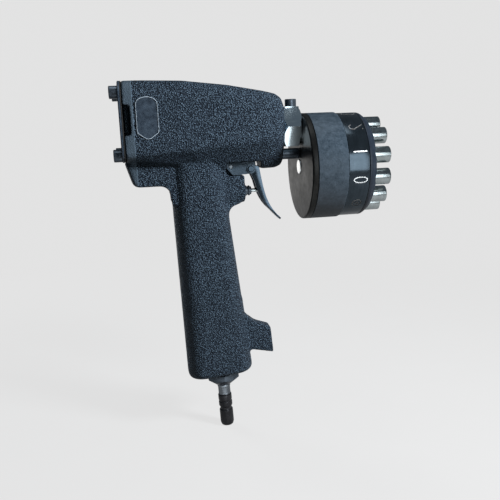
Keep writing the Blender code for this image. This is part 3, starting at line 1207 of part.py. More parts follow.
def build_inlet():
    """Hex bushing screwed into the foot, plain neck and quick-connect plug, all bored through."""
    frame = inlet_frame()
    bore = NECK_SPIGOT_RADIUS + SEAT_GAP
    seal_top = SEAT_GAP
    seal_low = seal_top + SEAL_THICKNESS
    seal = tube("inlet_seal", BUSHING_SPIGOT_RADIUS + SEAT_GAP, BUSHING_FLATS / 2, seal_top, seal_low, frame)
    add_node("inlet_seal", seal, "rubber")
    top = seal_low + SEAT_GAP
    low = top + BUSHING_HEIGHT
    bushing = hex_prism("inlet_bushing", BUSHING_FLATS, top, low, frame, math.radians(30))
    corner = BUSHING_FLATS / 2 / math.cos(math.pi / 6)
    past = CUT_OVERRUN
    slope = (corner - BUSHING_MOUTH_RADIUS) / BUSHING_CONE
    guard = ((0, top - past), (corner + past, top - past), (corner + past, low - BUSHING_CONE - past / slope),
             (BUSHING_MOUTH_RADIUS - past, low + past / slope), (0, low + past / slope))
    bushing = kept_inside(bushing, revolved("cone", guard, frame, 2 * ROUND_STEPS, HALF_STEP))
    spigot = rod("spigot", BUSHING_SPIGOT_RADIUS, -BUSHING_SPIGOT_LENGTH, top + SEAL_THICKNESS, frame)
    bushing = cut(joined(bushing, spigot), rod("bore", bore, -2 * BUSHING_SPIGOT_LENGTH, low + CUT_OVERRUN, frame,
                                               SMALL_ROUND_STEPS))
    add_node("inlet_bushing", bushing, "black_steel")
    neck_top = low + SEAT_GAP
    neck_low = neck_top + NECK_LENGTH
    spigot_top = neck_top - NECK_SPIGOT_LENGTH
    socket = PLUG_TAIL_RADIUS + SEAT_GAP
    socket_top = neck_low - PLUG_TAIL_LENGTH - SEAT_GAP
    edge = NECK_RADIUS / 12
    profile = ((AIR_BORE_RADIUS, spigot_top), (NECK_SPIGOT_RADIUS, spigot_top), (NECK_SPIGOT_RADIUS, neck_top),
               (NECK_RADIUS - edge, neck_top), (NECK_RADIUS, neck_top + edge), (NECK_RADIUS, neck_low - edge),
               (NECK_RADIUS - edge, neck_low), (socket, neck_low), (socket, socket_top), (AIR_BORE_RADIUS, socket_top))
    add_node("inlet_neck", revolved("inlet_neck", profile, frame), "grey_steel")
    add_node("air_plug", revolved("air_plug", plug_profile(neck_low + SEAT_GAP), frame), "black_steel")


def plug_profile(top):
    """Quick-connect plug: shouldered body, shallow lock groove, rounded end with a flat mouth."""
    low = top + PLUG_LENGTH
    groove = top + PLUG_LENGTH * 0.38
    slope = PLUG_RADIUS - PLUG_GROOVE_RADIUS
    width = PLUG_RADIUS / 3
    round_off = PLUG_RADIUS / 3
    profile = [(AIR_BORE_RADIUS, top - PLUG_TAIL_LENGTH), (PLUG_TAIL_RADIUS, top - PLUG_TAIL_LENGTH),
               (PLUG_TAIL_RADIUS, top), (PLUG_RADIUS - slope / 2, top), (PLUG_RADIUS, top + slope / 2),
               (PLUG_RADIUS, groove), (PLUG_GROOVE_RADIUS, groove + slope),
               (PLUG_GROOVE_RADIUS, groove + slope + width), (PLUG_RADIUS, groove + 2 * slope + width)]
    for step in range(4):
        angle = math.pi / 2 * step / 3
        profile.append((PLUG_RADIUS - round_off + round_off * math.cos(angle),
                        low - round_off + round_off * math.sin(angle)))
    profile.append((AIR_BORE_RADIUS, low))
    return profile


def main():
    clear_scene()
    build_housing()
    build_rear_end()
    build_cylinder()
    build_hammer()
    build_collar()
    add_node("carrier_disc", carrier_disc(), "black_steel")
    build_detent()
    build_axle()
    build_turret()
    build_bracket()
    build_trigger()
    build_valve()
    build_inlet()


main()
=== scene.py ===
"""Looks for the air-powered marking gun: fine surfaces, materials, studio and camera."""

import math

import bmesh
import bpy
from mathutils import Matrix, Vector


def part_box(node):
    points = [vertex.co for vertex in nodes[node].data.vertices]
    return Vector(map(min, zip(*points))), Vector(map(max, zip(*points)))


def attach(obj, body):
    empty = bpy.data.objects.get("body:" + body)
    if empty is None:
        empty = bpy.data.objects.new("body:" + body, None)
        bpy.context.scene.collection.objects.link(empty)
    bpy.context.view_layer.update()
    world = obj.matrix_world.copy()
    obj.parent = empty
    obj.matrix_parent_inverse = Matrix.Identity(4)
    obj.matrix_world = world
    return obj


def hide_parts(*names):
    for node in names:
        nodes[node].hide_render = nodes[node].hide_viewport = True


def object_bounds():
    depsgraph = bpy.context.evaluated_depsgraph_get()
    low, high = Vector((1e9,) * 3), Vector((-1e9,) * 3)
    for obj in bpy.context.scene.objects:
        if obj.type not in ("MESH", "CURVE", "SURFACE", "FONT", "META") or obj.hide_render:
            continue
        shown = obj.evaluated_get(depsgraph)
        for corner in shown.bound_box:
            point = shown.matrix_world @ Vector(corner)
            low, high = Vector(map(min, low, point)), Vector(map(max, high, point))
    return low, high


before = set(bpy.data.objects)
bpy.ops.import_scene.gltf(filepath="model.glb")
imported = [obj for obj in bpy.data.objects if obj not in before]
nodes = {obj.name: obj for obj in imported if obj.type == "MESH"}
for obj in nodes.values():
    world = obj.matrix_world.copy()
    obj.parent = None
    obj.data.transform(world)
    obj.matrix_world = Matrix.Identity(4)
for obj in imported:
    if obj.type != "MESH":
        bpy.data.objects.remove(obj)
cad_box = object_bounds()

# Lengths in metres, in the part's own frame: +X the way the blow goes, +Z up the handle
STRIKE_Z = 0.115
DRUM_Z = 0.0845
CAST_HALF_WIDTH = 0.02704
TURRET_RADIUS = 0.040
SLEEVE_WALL = 0.0032
BAND_RADIUS = 0.0391
PUNCH_CIRCLE = 0.0305
PUNCH_COUNT = 12
PUNCH_RADIUS = 0.0060
AXLE_RADIUS = 0.0056
RUNNING_GAP = 0.0003

# The turret rests half a step off its stations, as photographed
PARK_TURN = math.radians(15)

# How mesh is made: steps round a turned piece, how far a cutter stands out, and what stays sharp
FINE_STEPS = 120
CUT_REACH = 0.002
CAST_VOXEL = 0.0009
CAST_SMOOTHING = 9
SHARP_ANGLE = math.radians(30)
EDGED_SHARP_ANGLE = math.radians(40)
X_AXIS, Z_AXIS = Vector((1, 0, 0)), Vector((0, 0, 1))

# A Mix node's sockets for colours; the sockets for its other kinds have the same names
MIX_FIRST, MIX_SECOND, MIX_RESULT = 6, 7, 2

PALE_BACKGROUND = (0.765, 0.765, 0.765)


# Materials

def new_material(name):
    material = bpy.data.materials.new(name)
    material.use_nodes = True
    return material, material.node_tree, material.node_tree.nodes["Principled BSDF"]


def object_coord(tree):
    return tree.nodes.new("ShaderNodeTexCoord").outputs["Object"]


def add(tree, kind, **values):
    """New node, with each value set on the input of that name or else on the node."""
    node = tree.nodes.new(kind)
    for key, value in values.items():
        if key in node.inputs:
            node.inputs[key].default_value = value
        else:
            setattr(node, key, value)
    return node


def noise(tree, coord, scale, detail, stretch=None):
    if stretch:
        mapping = add(tree, "ShaderNodeMapping", Scale=stretch)
        tree.links.new(coord, mapping.inputs["Vector"])
        coord = mapping.outputs["Vector"]
    node = add(tree, "ShaderNodeTexNoise", Scale=scale, Detail=detail)
    tree.links.new(coord, node.inputs["Vector"])
    return node.outputs["Fac"]


def ramp(tree, factor, stops):
    """Colour ramp through (place, colour or grey value) stops."""
    node = add(tree, "ShaderNodeValToRGB")
    while len(node.color_ramp.elements) < len(stops):
        node.color_ramp.elements.new(0.5)
    for element, (place, colour) in zip(node.color_ramp.elements, stops):
        element.position = place
        if not isinstance(colour, tuple):
            colour = (colour, colour, colour)
        element.color = (*colour, 1)
    tree.links.new(factor, node.inputs["Fac"])
    return node.outputs["Color"]


def bump(tree, shader, height, distance):
    node = add(tree, "ShaderNodeBump", Strength=1.0, Distance=distance)
    tree.links.new(height, node.inputs["Height"])
    tree.links.new(node.outputs["Normal"], shader.inputs["Normal"])


def arithmetic(tree, operation, first, second):
    """Math node over two inputs, each a socket or a number."""
    node = add(tree, "ShaderNodeMath", operation=operation)
    for index, value in enumerate((first, second)):
        if isinstance(value, (int, float)):
            node.inputs[index].default_value = value
        else:
            tree.links.new(value, node.inputs[index])
    return node.outputs[0]


def share_below(tree, coord, axis, high, fade):
    """1 where the part's coordinate is under high, 0 above it, with a soft step of width fade."""
    split = tree.nodes.new("ShaderNodeSeparateXYZ")
    tree.links.new(coord, split.inputs[0])
    step = add(tree, "ShaderNodeMapRange")
    step.inputs["From Min"].default_value = high - fade / 2
    step.inputs["From Max"].default_value = high + fade / 2
    step.inputs["To Min"].default_value = 1.0
    step.inputs["To Max"].default_value = 0.0
    tree.links.new(split.outputs[axis], step.inputs["Value"])
    return step.outputs[0]


def mixed(tree, share, first, second):
    """The first colour where share is 0, the second where it is 1."""
    node = add(tree, "ShaderNodeMix", data_type="RGBA")
    tree.links.new(share, node.inputs["Factor"])
    tree.links.new(first, node.inputs[MIX_FIRST])
    tree.links.new(second, node.inputs[MIX_SECOND])
    return node.outputs[MIX_RESULT]


def crinkle_coat():
    """Black crinkle coat: millimetre pebbles with a painted blue-grey highlight on their tops and
    painted shade in the hollows between them, but a smooth rear flange.
    """
    flange_front = -0.0484
    flange_smoothness = 0.88
    material, tree, shader = new_material("crinkle_coat")
    coord = object_coord(tree)
    pebbles = add(tree, "ShaderNodeTexVoronoi", Scale=1020.0, feature="SMOOTH_F1", Smoothness=0.3)
    tree.links.new(coord, pebbles.inputs["Vector"])
    fine = noise(tree, coord, 1500.0, 2.0)
    patches = noise(tree, coord, 60.0, 3.0)
    grain = arithmetic(tree, "ADD", arithmetic(tree, "MULTIPLY", fine, 0.9),
                       pebbles.outputs["Distance"])
    flange = share_below(tree, coord, "X", flange_front, 0.0006)
    smoothed = arithmetic(tree, "MULTIPLY", flange, flange_smoothness)
    grain = arithmetic(tree, "MULTIPLY", grain, arithmetic(tree, "SUBTRACT", 1.0, smoothed))
    # Pebble tops light blue-grey and the hollows between them dark: painted highlight and painted
    # shade that follow the bump
    pebble_highlight_and_shade = ramp(tree, grain, ((0.40, (0.078, 0.113, 0.148)), (0.68, (0.044, 0.064, 0.086)),
                                 (0.98, (0.008, 0.011, 0.016))))
    plain = ramp(tree, patches, ((0.3, (0.020, 0.028, 0.036)), (0.7, (0.034, 0.046, 0.058))))
    tree.links.new(mixed(tree, flange, pebble_highlight_and_shade, plain), shader.inputs["Base Color"])
    tree.links.new(ramp(tree, patches, ((0.3, 0.38), (0.7, 0.48))), shader.inputs["Roughness"])
    shader.inputs["Specular IOR Level"].default_value = 0.34
    shader.inputs["Specular Tint"].default_value = (0.62, 0.82, 1.0, 1)
    bump(tree, shader, grain, -0.0018)
    return material


def cast_smooth():
    """The casting where it is machined or rubbed smooth: satin black with faint mottling."""
    material, tree, shader = new_material("smooth_coat")
    coord = object_coord(tree)
    cloud = noise(tree, coord, 260.0, 4.0)
    tree.links.new(ramp(tree, cloud, ((0.35, (0.008, 0.012, 0.018)), (0.7, (0.020, 0.029, 0.040)))),
                   shader.inputs["Base Color"])
    tree.links.new(ramp(tree, cloud, ((0.3, 0.30), (0.75, 0.45))), shader.inputs["Roughness"])
    shader.inputs["Specular IOR Level"].default_value = 0.28
    bump(tree, shader, noise(tree, coord, 900.0, 2.0), 0.00006)
    return material


def metal(name, dark, light, roughness, stretch=None, scale=900.0, depth=0.00002, metallic=1.0,
          spread=0.10, cloud_scale=180.0):
    """Metal with fine tool marks, drawn out as stretch says, and cloudy colour and roughness."""
    material, tree, shader = new_material(name)
    coord = object_coord(tree)
    marks = noise(tree, coord, scale, 3.0, stretch)
    cloud = noise(tree, coord, cloud_scale, 3.0)
    both = arithmetic(tree, "MULTIPLY", arithmetic(tree, "ADD", marks, cloud), 0.5)
    tree.links.new(ramp(tree, both, ((0.3, dark), (0.7, light))), shader.inputs["Base Color"])
    tree.links.new(ramp(tree, both, ((0.3, roughness - spread / 2), (0.7, roughness + spread))),
                   shader.inputs["Roughness"])
    shader.inputs["Metallic"].default_value = metallic
    bump(tree, shader, marks, depth)
    return material


def painted_line():
    """White paint in the engraved digits, lightest a little above the turret's middle, greyer below
    it, darker at the top and bottom, and rubbed off in fine random specks.
    """
    material, tree, shader = new_material("digit_paint")
    coord = object_coord(tree)
    wear = noise(tree, coord, 1500.0, 3.0)
    place = tree.nodes.new("ShaderNodeSeparateXYZ")
    tree.links.new(coord, place.inputs[0])
    above_foot = arithmetic(tree, "SUBTRACT", place.outputs["Z"], DRUM_Z - TURRET_RADIUS)
    height = arithmetic(tree, "MULTIPLY", above_foot, 0.5 / TURRET_RADIUS)
    # Paint tone set by height in the turret's resting turn: lightest a little above the middle,
    # grey below it, dark at the top and bottom
    paint = ramp(tree, height, ((0.18, (0.030, 0.028, 0.026)), (0.31, (0.30, 0.31, 0.31)),
                                (0.48, (0.36, 0.37, 0.37)), (0.56, (0.80, 0.81, 0.80)),
                                (0.68, (0.80, 0.81, 0.80)), (0.77, (0.050, 0.048, 0.046)),
                                (0.95, (0.034, 0.032, 0.030))))
    bare = ramp(tree, wear, ((0.3, (0.08, 0.09, 0.10)), (0.7, (0.12, 0.13, 0.14))))
    tree.links.new(mixed(tree, ramp(tree, wear, ((0.30, 0.0), (0.50, 1.0))), bare, paint),
                   shader.inputs["Base Color"])
    tree.links.new(ramp(tree, wear, ((0.3, 0.6), (0.7, 0.4))), shader.inputs["Roughness"])
    shader.inputs["Specular IOR Level"].default_value = 0.2
    bump(tree, shader, wear, 0.00003)
    return material


def soft_black(name, colour, roughness):
    """Dull black rubber or fibre."""
    material, tree, shader = new_material(name)
    coord = object_coord(tree)
    cloud = noise(tree, coord, 400.0, 4.0)
    lighter = tuple(1.6 * c + 0.003 for c in colour)
    tree.links.new(ramp(tree, cloud, ((0.3, colour), (0.7, lighter))), shader.inputs["Base Color"])
    tree.links.new(ramp(tree, cloud, ((0.3, roughness - 0.08), (0.7, roughness + 0.06))),
                   shader.inputs["Roughness"])
    bump(tree, shader, noise(tree, coord, 2200.0, 2.0), 0.00003)
    return material


# Scale of a metal's marks on X, Y and Z; a small number draws them out along that axis
RINGS_X = (1.0, 0.03, 0.03)
ALONG_X = (0.04, 1, 1)
ALONG_Z = (1, 1, 0.05)

LOOKS = {
    "crinkle": crinkle_coat(),
    "smooth": cast_smooth(),
    "sleeve": metal("sleeve_black", (0.003, 0.007, 0.011), (0.025, 0.034, 0.044), 0.50,
                    scale=1100.0, depth=0.00012, metallic=0.1, cloud_scale=260.0),
    "plate": metal("plate_black", (0.005, 0.007, 0.011), (0.011, 0.015, 0.021), 0.42,
                   metallic=0.3, spread=0.08),
    "band": metal("band_black", (0.036, 0.048, 0.058), (0.062, 0.080, 0.097), 0.14, RINGS_X,
                  2600.0, 0.000008, metallic=0.95, spread=0.05),
    "disc": metal("disc_black", (0.010, 0.011, 0.011), (0.030, 0.029, 0.027), 0.40,
                  scale=300.0, depth=0.000006, metallic=0.9, cloud_scale=60.0),
    "punch": metal("punch_steel", (0.36, 0.40, 0.40), (0.60, 0.65, 0.65), 0.17, RINGS_X,
                   3000.0, 0.00001),
    "cap": metal("axle_cap", (0.78, 0.79, 0.79), (0.90, 0.91, 0.91), 0.18, depth=0.000004),
    "collar": metal("collar_steel", (0.72, 0.85, 0.93), (0.84, 0.95, 1.0), 0.14, ALONG_X,
                    2200.0, 0.000006, spread=0.06),
    "lever": metal("lever_steel", (0.030, 0.046, 0.062), (0.085, 0.112, 0.140), 0.20, (1, 1, 0.25),
                   500.0, 0.000004, spread=0.08, cloud_scale=90.0),
    "oxide": metal("black_oxide", (0.045, 0.056, 0.069), (0.099, 0.120, 0.144), 0.30,
                   metallic=0.85),
    "grey": metal("grey_turned", (0.16, 0.18, 0.20), (0.32, 0.35, 0.38), 0.30, ALONG_Z,
                  1800.0, 0.00001),
    "plug": metal("plug_dark", (0.028, 0.029, 0.032), (0.060, 0.060, 0.064), 0.22, ALONG_Z,
                  1500.0, 0.00001, metallic=0.9),
    "bronze": metal("bush_bronze", (0.30, 0.19, 0.08), (0.48, 0.33, 0.16), 0.34, RINGS_X,
                    1500.0, 0.00001),
    "bracket": metal("bracket_grey", (0.012, 0.020, 0.028), (0.070, 0.098, 0.126), 0.40,
                     scale=1900.0, depth=0.00010, metallic=0.55, cloud_scale=1300.0),
    # Lighter grey for the line round the plate's edge: a painted highlight along the rim
    "rim": metal("rim_painted_highlight", (0.10, 0.13, 0.16), (0.34, 0.39, 0.43), 0.42,
                 depth=0.00003, metallic=0.4, cloud_scale=500.0),
    "rubber": soft_black("seal_rubber", (0.010, 0.010, 0.010), 0.75),
    "fibre": soft_black("gasket_fibre", (0.010, 0.010, 0.010), 0.85),
    "paint": painted_line(),
}


# Mesh helpers

def shaded(mesh, angle=SHARP_ANGLE):
    """The mesh shaded smooth, with edges over the angle left sharp."""
    mesh.shade_smooth()
    mesh.set_sharp_from_angle(angle=angle)
    return mesh


def place_piece(name, mesh, look, body, slot, *replaced):
    """Adds the mesh as a visible piece on a body, standing for the replaced nodes."""
    piece = bpy.data.objects.new(name, mesh)
    bpy.context.scene.collection.objects.link(piece)
    piece.data.materials.clear()
    piece.data.materials.append(LOOKS[look])
    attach(piece, body)
    if replaced:
        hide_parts(*replaced)
    return piece


def axis_frame(origin, axis):
    """Frame at the origin whose Z runs along the axis."""
    z = axis.normalized()
    x = Z_AXIS.cross(z)
    if x.length < 1e-6:
        x = X_AXIS.cross(z)
    x.normalize()
    y = z.cross(x)
    matrix = Matrix((x, y, z)).transposed().to_4x4()
    matrix.translation = origin
    return matrix


def rounded(points, radius, steps=4):
    """Open profile with each inner corner rounded; radius is one value or one for each point."""
    points = [Vector(p) for p in points]
    result = [points[0]]
    for index in range(1, len(points) - 1):
        before, corner, after = points[index - 1:index + 2]
        size = radius[index] if isinstance(radius, (list, tuple)) else radius
        a, b = before - corner, after - corner
        cut = min(size, a.length * 0.45, b.length * 0.45)
        if cut <= 0:
            result.append(corner)
            continue
        start, end = corner + a.normalized() * cut, corner + b.normalized() * cut
        for step in range(steps + 1):
            t = step / steps
            result.append((1 - t) ** 2 * start + 2 * t * (1 - t) * corner + t * t * end)
    result.append(points[-1])
    return result


def turned(name, profile, matrix, steps=FINE_STEPS):
    """Solid turned about the frame's Z; profile holds (radius, height) pairs.

    A profile that starts and ends off the axis is closed into a ring.
    """
    bm = bmesh.new()
    rings = []
    for radius, height in profile:
        if radius < 1e-7:
            rings.append([bm.verts.new((0, 0, height))])
            continue
        ring = []
        for k in range(steps):
            angle = math.tau * k / steps
            ring.append(bm.verts.new((radius * math.cos(angle), radius * math.sin(angle), height)))
        rings.append(ring)
    closed = len(rings[0]) > 1 and len(rings[-1]) > 1
    pairs = list(zip(rings, rings[1:])) + ([(rings[-1], rings[0])] if closed else [])
    for low, high in pairs:
        for k in range(steps):
            n = (k + 1) % steps
            quad = [low[k % len(low)], low[n % len(low)], high[n % len(high)], high[k % len(high)]]
            corners = list(dict.fromkeys(quad))
            if len(corners) > 2:
                bm.faces.new(corners)
    bmesh.ops.recalc_face_normals(bm, faces=bm.faces)
    bm.transform(matrix)
    return shaded(finished(bm, name))


def rod(name, radius, low, high, matrix, sides):
    """Plain round or many-sided bar, mostly for cutting bores."""
    return turned(name, [(0, low), (radius, low), (radius, high), (0, high)], matrix, sides)


def finished(bm, name):
    """The worked mesh as mesh data, with the work freed."""
    mesh = bpy.data.meshes.new(name)
    bm.to_mesh(mesh)
    bm.free()
    return mesh


def evaluated(mesh, *setups):
    """The mesh after a stack of modifiers, each given as (type, settings)."""
    piece = bpy.data.objects.new("work", mesh)
    bpy.context.scene.collection.objects.link(piece)
    for kind, settings in setups:
        modifier = piece.modifiers.new(kind, kind)
        for key, value in settings.items():
            setattr(modifier, key, value)
    graph = bpy.context.evaluated_depsgraph_get()
    result = bpy.data.meshes.new_from_object(piece.evaluated_get(graph))
    bpy.data.objects.remove(piece, do_unlink=True)
    return result


def solid_copy(node):
    """The CAD node's own mesh as one closed surface, its flat faces joined up again."""
    bm = bmesh.new()
    bm.from_mesh(nodes[node].data)
    bmesh.ops.remove_doubles(bm, verts=bm.verts, dist=2e-6)
    bmesh.ops.dissolve_limit(bm, angle_limit=math.radians(1.0), verts=bm.verts, edges=bm.edges)
    bmesh.ops.recalc_face_normals(bm, faces=bm.faces)
    return finished(bm, node + "_copy")


def edged(name, node, look, body, slot, width):
    """The node's solid with every sharp edge broken, standing for the node."""
    bevel = {"width": width, "segments": 3, "limit_method": "ANGLE",
             "angle_limit": SHARP_ANGLE, "harden_normals": False}
    mesh = shaded(evaluated(solid_copy(node), ("BEVEL", bevel)), EDGED_SHARP_ANGLE)
    return place_piece(name, mesh, look, body, slot, node)


def cut_with(mesh, *tools):
    """The mesh less each of the tool meshes."""
    for tool in tools:
        cutter = bpy.data.objects.new("cutter", tool)
        bpy.context.scene.collection.objects.link(cutter)
        settings = {"operation": "DIFFERENCE", "object": cutter, "solver": "EXACT"}
        mesh = evaluated(mesh, ("BOOLEAN", settings))
        bpy.data.objects.remove(cutter, do_unlink=True)
    return mesh


def drum_frame():
    return axis_frame(Vector((0, 0, DRUM_Z)), X_AXIS)


def frame_along_x(node):
    """Frame on the X line through the middle of the node's height."""
    low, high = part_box(node)
    return axis_frame(Vector((0, 0, (low[2] + high[2]) / 2)), X_AXIS)


def x_span(node):
    low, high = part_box(node)
    return low[0], high[0]


# Casting

def casting():
    """The cast body with its edges and joins blended, as a foundry pattern has them."""
    mesh = evaluated(
        solid_copy("housing"),
        ("REMESH", {"mode": "VOXEL", "voxel_size": CAST_VOXEL, "adaptivity": 0.0}),
        ("SMOOTH", {"factor": 0.5, "iterations": CAST_SMOOTHING}),
    )
    for vertex in mesh.vertices:
        vertex.co.y = max(vertex.co.y, -CAST_HALF_WIDTH)
    mesh.shade_smooth()
    return place_piece("cast_body", mesh, "crinkle", "gun", "cast", "housing")


def plate_outline(left, right, low, high, point, arch):
    """Outline in X-Z, arched above and drawn to a blunt point below."""
    count = 12
    fullness = 0.8
    middle, half = (left + right) / 2, (right - left) / 2
    points = []
    for k in range(count + 1):
        angle = math.pi * k / count
        rise = arch * math.sin(angle) ** fullness
        points.append((middle + half * math.cos(angle), high - arch + rise))
    corner = 0.0016
    points += [(left, low + point + corner), (left + corner * 0.3, low + point),
               (middle - corner, low + 0.0002), (middle, low), (middle + corner, low + 0.0002),
               (right - corner * 0.3, low + point), (right, low + point + corner)]
    return points


def ring_between(name, rows, closed_ends):
    """Mesh through rows of points, each a closed loop; the ends are filled or joined up."""
    bm = bmesh.new()
    loops = [[bm.verts.new(p) for p in row] for row in rows]
    for a, b in zip(loops, loops[1:]):
        for k in range(len(a)):
            n = (k + 1) % len(a)
            bm.faces.new((a[k], a[n], b[n], b[k]))
    if closed_ends:
        bm.faces.new(loops[0])
        bm.faces.new(loops[-1])
    else:
        for k in range(len(loops[0])):
            n = (k + 1) % len(loops[0])
            bm.faces.new((loops[-1][k], loops[-1][n], loops[0][n], loops[0][k]))
    bmesh.ops.recalc_face_normals(bm, faces=bm.faces)
    return shaded(finished(bm, name))


def build_bare_plate():
    """Bare raised plate on the right side, with a lighter line round its edge that is a painted
    highlight.
    """
    outline = plate_outline(-0.0466, -0.0312, 0.1100, 0.1392, 0.0040, 0.0060)
    middle = Vector((-0.0389, 0.1246))

    def loop(inset, y):
        row = []
        for x, z in outline:
            out = Vector((x, z)) - middle
            out *= 1 - inset / out.length
            row.append((middle.x + out.x, y, middle.y + out.y))
        return row

    face = -CAST_HALF_WIDTH
    rows = [loop(0, face + 0.0004), loop(0, face - 0.00035), loop(0.0003, face - 0.0005),
            loop(0.0011, face - 0.0005), loop(0.0013, face - 0.00025)]
    place_piece("bare_plate", ring_between("bare_plate", rows, True), "smooth", "gun", "cast")
    # The edge line is a painted highlight: lighter grey than the plate
    rows = [loop(0.00030, face - 0.00045), loop(0.00035, face - 0.00062),
            loop(0.00072, face - 0.00062), loop(0.00078, face - 0.00045)]
    place_piece("plate_rim_highlight", ring_between("plate_rim_highlight", rows, False), "rim", "gun", "cast")


# Turret

def build_turret_skin():
    """Grip sleeve, numbered band, and front ring with the punches' holes."""
    back, front = x_span("grip_sleeve")
    inner = TURRET_RADIUS - SLEEVE_WALL
    profile = rounded([(inner, back), (TURRET_RADIUS, back), (TURRET_RADIUS, front),
                       (inner, front)], 0.0006)
    sleeve = turned("sleeve", profile, drum_frame())
    place_piece("sleeve", sleeve, "sleeve", "turret", "matte_black", "grip_sleeve")

    low, high = front + RUNNING_GAP, x_span("front_plate")[0] - RUNNING_GAP
    skin, under = BAND_RADIUS + 0.00006, BAND_RADIUS - 0.0010
    profile = rounded([(under, low), (skin, low), (skin, high), (under, high)], 0.00025)
    band = turned("number_band", profile, drum_frame())
    place_piece("number_band", band, "band", "turret", "black_steel")

    near, far = x_span("front_plate")
    shoulder = near + (far - near) / 3
    bore = AXLE_RADIUS + 0.0025
    profile = rounded([(bore, near), (BAND_RADIUS, near), (BAND_RADIUS, shoulder),
                       (BAND_RADIUS - 0.0032, far), (bore, far)], [0, 0.0003, 0.0010, 0.0012, 0])
    plate = turned("front_ring", profile, drum_frame(), 2 * FINE_STEPS)
    holes = [rod("hole", PUNCH_RADIUS + RUNNING_GAP, near - CUT_REACH, far + CUT_REACH,
                 axis_frame(punch_place(index), X_AXIS), 36) for index in range(PUNCH_COUNT)]
    plate = shaded(cut_with(plate, *holes))
    place_piece("front_ring", plate, "plate", "turret", "matte_black", "front_plate")


def punch_place(index):
    turn = PARK_TURN + math.tau * index / PUNCH_COUNT
    return Vector((0, -PUNCH_CIRCLE * math.sin(turn), DRUM_Z + PUNCH_CIRCLE * math.cos(turn)))


def build_punches():
    """Twelve punches, each with its head, thin shank, thick body and slightly dished end."""
    back, tip = x_span("punch_01")
    head, shank = 0.0054, 0.0040
    head_front, shoulder = back + 0.0015, tip - 0.030
    profile = rounded([(0, back), (head, back), (head, head_front), (shank, head_front),
                       (shank, shoulder), (PUNCH_RADIUS, shoulder), (PUNCH_RADIUS, tip),
                       (0.0046, tip), (0.0043, tip - 0.0003), (0, tip - 0.0003)],
                      [0, 0.0002, 0.0002, 0, 0, 0.0003, 0.0011, 0.0002, 0.0002, 0])
    for index in range(PUNCH_COUNT):
        mesh = turned("punch", profile, axis_frame(punch_place(index), X_AXIS), 48)
        name = f"punch_{index + 1:02d}"
        place_piece(name + "_steel", mesh, "punch", name + "_body", "bright_steel", name)


def stroke_arc(cx, cy, rx, ry, start, end, count=14):
    """Points of an arc, its angles in degrees."""
    points = []
    for k in range(count + 1):
        angle = math.radians(start + (end - start) * k / count)
        points.append((cx + rx * math.cos(angle), cy + ry * math.sin(angle)))
    return points


# Centre lines of the digits, each in a box 0.5 wide and 1 high.
# Station 11 has a worn round mark, and station 10 has none.
DIGITS = {
    0: [stroke_arc(0.25, 0.5, 0.21, 0.5, 0, 360, 36)],
    1: [[(0.25, 0.0), (0.25, 1.0)]],
    2: [stroke_arc(0.25, 0.74, 0.22, 0.26, 165, -35) + [(0.03, 0.0), (0.48, 0.0)]],
    3: [stroke_arc(0.24, 0.76, 0.20, 0.24, 150, -90)
        + stroke_arc(0.24, 0.26, 0.23, 0.26, 90, -150)],
    4: [[(0.36, 0.0), (0.36, 1.0), (0.02, 0.3), (0.5, 0.3)]],
    5: [[(0.44, 1.0), (0.08, 1.0), (0.05, 0.55)] + stroke_arc(0.24, 0.31, 0.22, 0.31, 125, -145)],
    6: [stroke_arc(0.25, 0.30, 0.22, 0.30, 0, 360, 24), [(0.04, 0.36), (0.12, 0.75), (0.38, 1.0)]],
    7: [[(0.03, 1.0), (0.47, 1.0), (0.18, 0.0)]],
    8: [stroke_arc(0.25, 0.76, 0.18, 0.24, 0, 360, 24),
        stroke_arc(0.25, 0.26, 0.22, 0.26, 0, 360, 24)],
    9: [stroke_arc(0.25, 0.70, 0.22, 0.30, 0, 360, 24), [(0.46, 0.64), (0.38, 0.25), (0.12, 0.0)]],
    11: [stroke_arc(0.25, 0.5, 0.34, 0.34, 0, 360, 24),
         stroke_arc(0.25, 0.5, 0.12, 0.12, 0, 360, 12)],
}
DIGIT_HEIGHT = 0.0100
DIGIT_STROKE = 0.0007
DIGIT_BACK_GAP = 0.0040
DIGIT_LIFT = 0.0001
DIGIT_ZERO_TURN = math.radians(103.3)
DIGIT_STEP = math.radians(30)


def digit_ribbon(bm, line, top, turn, radius):
    """Flat stroke laid round the band; digits read with their tops towards the sleeve."""
    points = [Vector(((u - 0.25) * DIGIT_HEIGHT, top + (1 - v) * DIGIT_HEIGHT)) for u, v in line]
    loop = (points[0] - points[-1]).length < 1e-6
    rows = []
    for index, point in enumerate(points):
        before = points[index - 1] if index else (points[-2] if loop else point)
        after = points[index + 1] if index < len(points) - 1 else (points[1] if loop else point)
        along = (after - before).normalized()
        side = Vector((-along.y, along.x)) * DIGIT_STROKE / 2
        row = []
        for p in (point + side, point - side):
            angle = turn + p.x / radius
            place = (p.y, -radius * math.sin(angle), DRUM_Z + radius * math.cos(angle))
            row.append(bm.verts.new(place))
        rows.append(row)
    for a, b in zip(rows, rows[1:]):
        bm.faces.new((a[0], a[1], b[1], b[0]))


def build_digits():
    """The band's numbers, one to a station, as painted strokes just proud of the band."""
    top = x_span("grip_sleeve")[1] + DIGIT_BACK_GAP
    bm = bmesh.new()
    for digit, lines in DIGITS.items():
        turn = DIGIT_ZERO_TURN - DIGIT_STEP * digit
        for line in lines:
            digit_ribbon(bm, line, top, turn, BAND_RADIUS + DIGIT_LIFT)
    bmesh.ops.recalc_face_normals(bm, faces=bm.faces)
    digits = shaded(finished(bm, "band_digits"))
    place_piece("band_digits", digits, "paint", "turret", "black_steel")


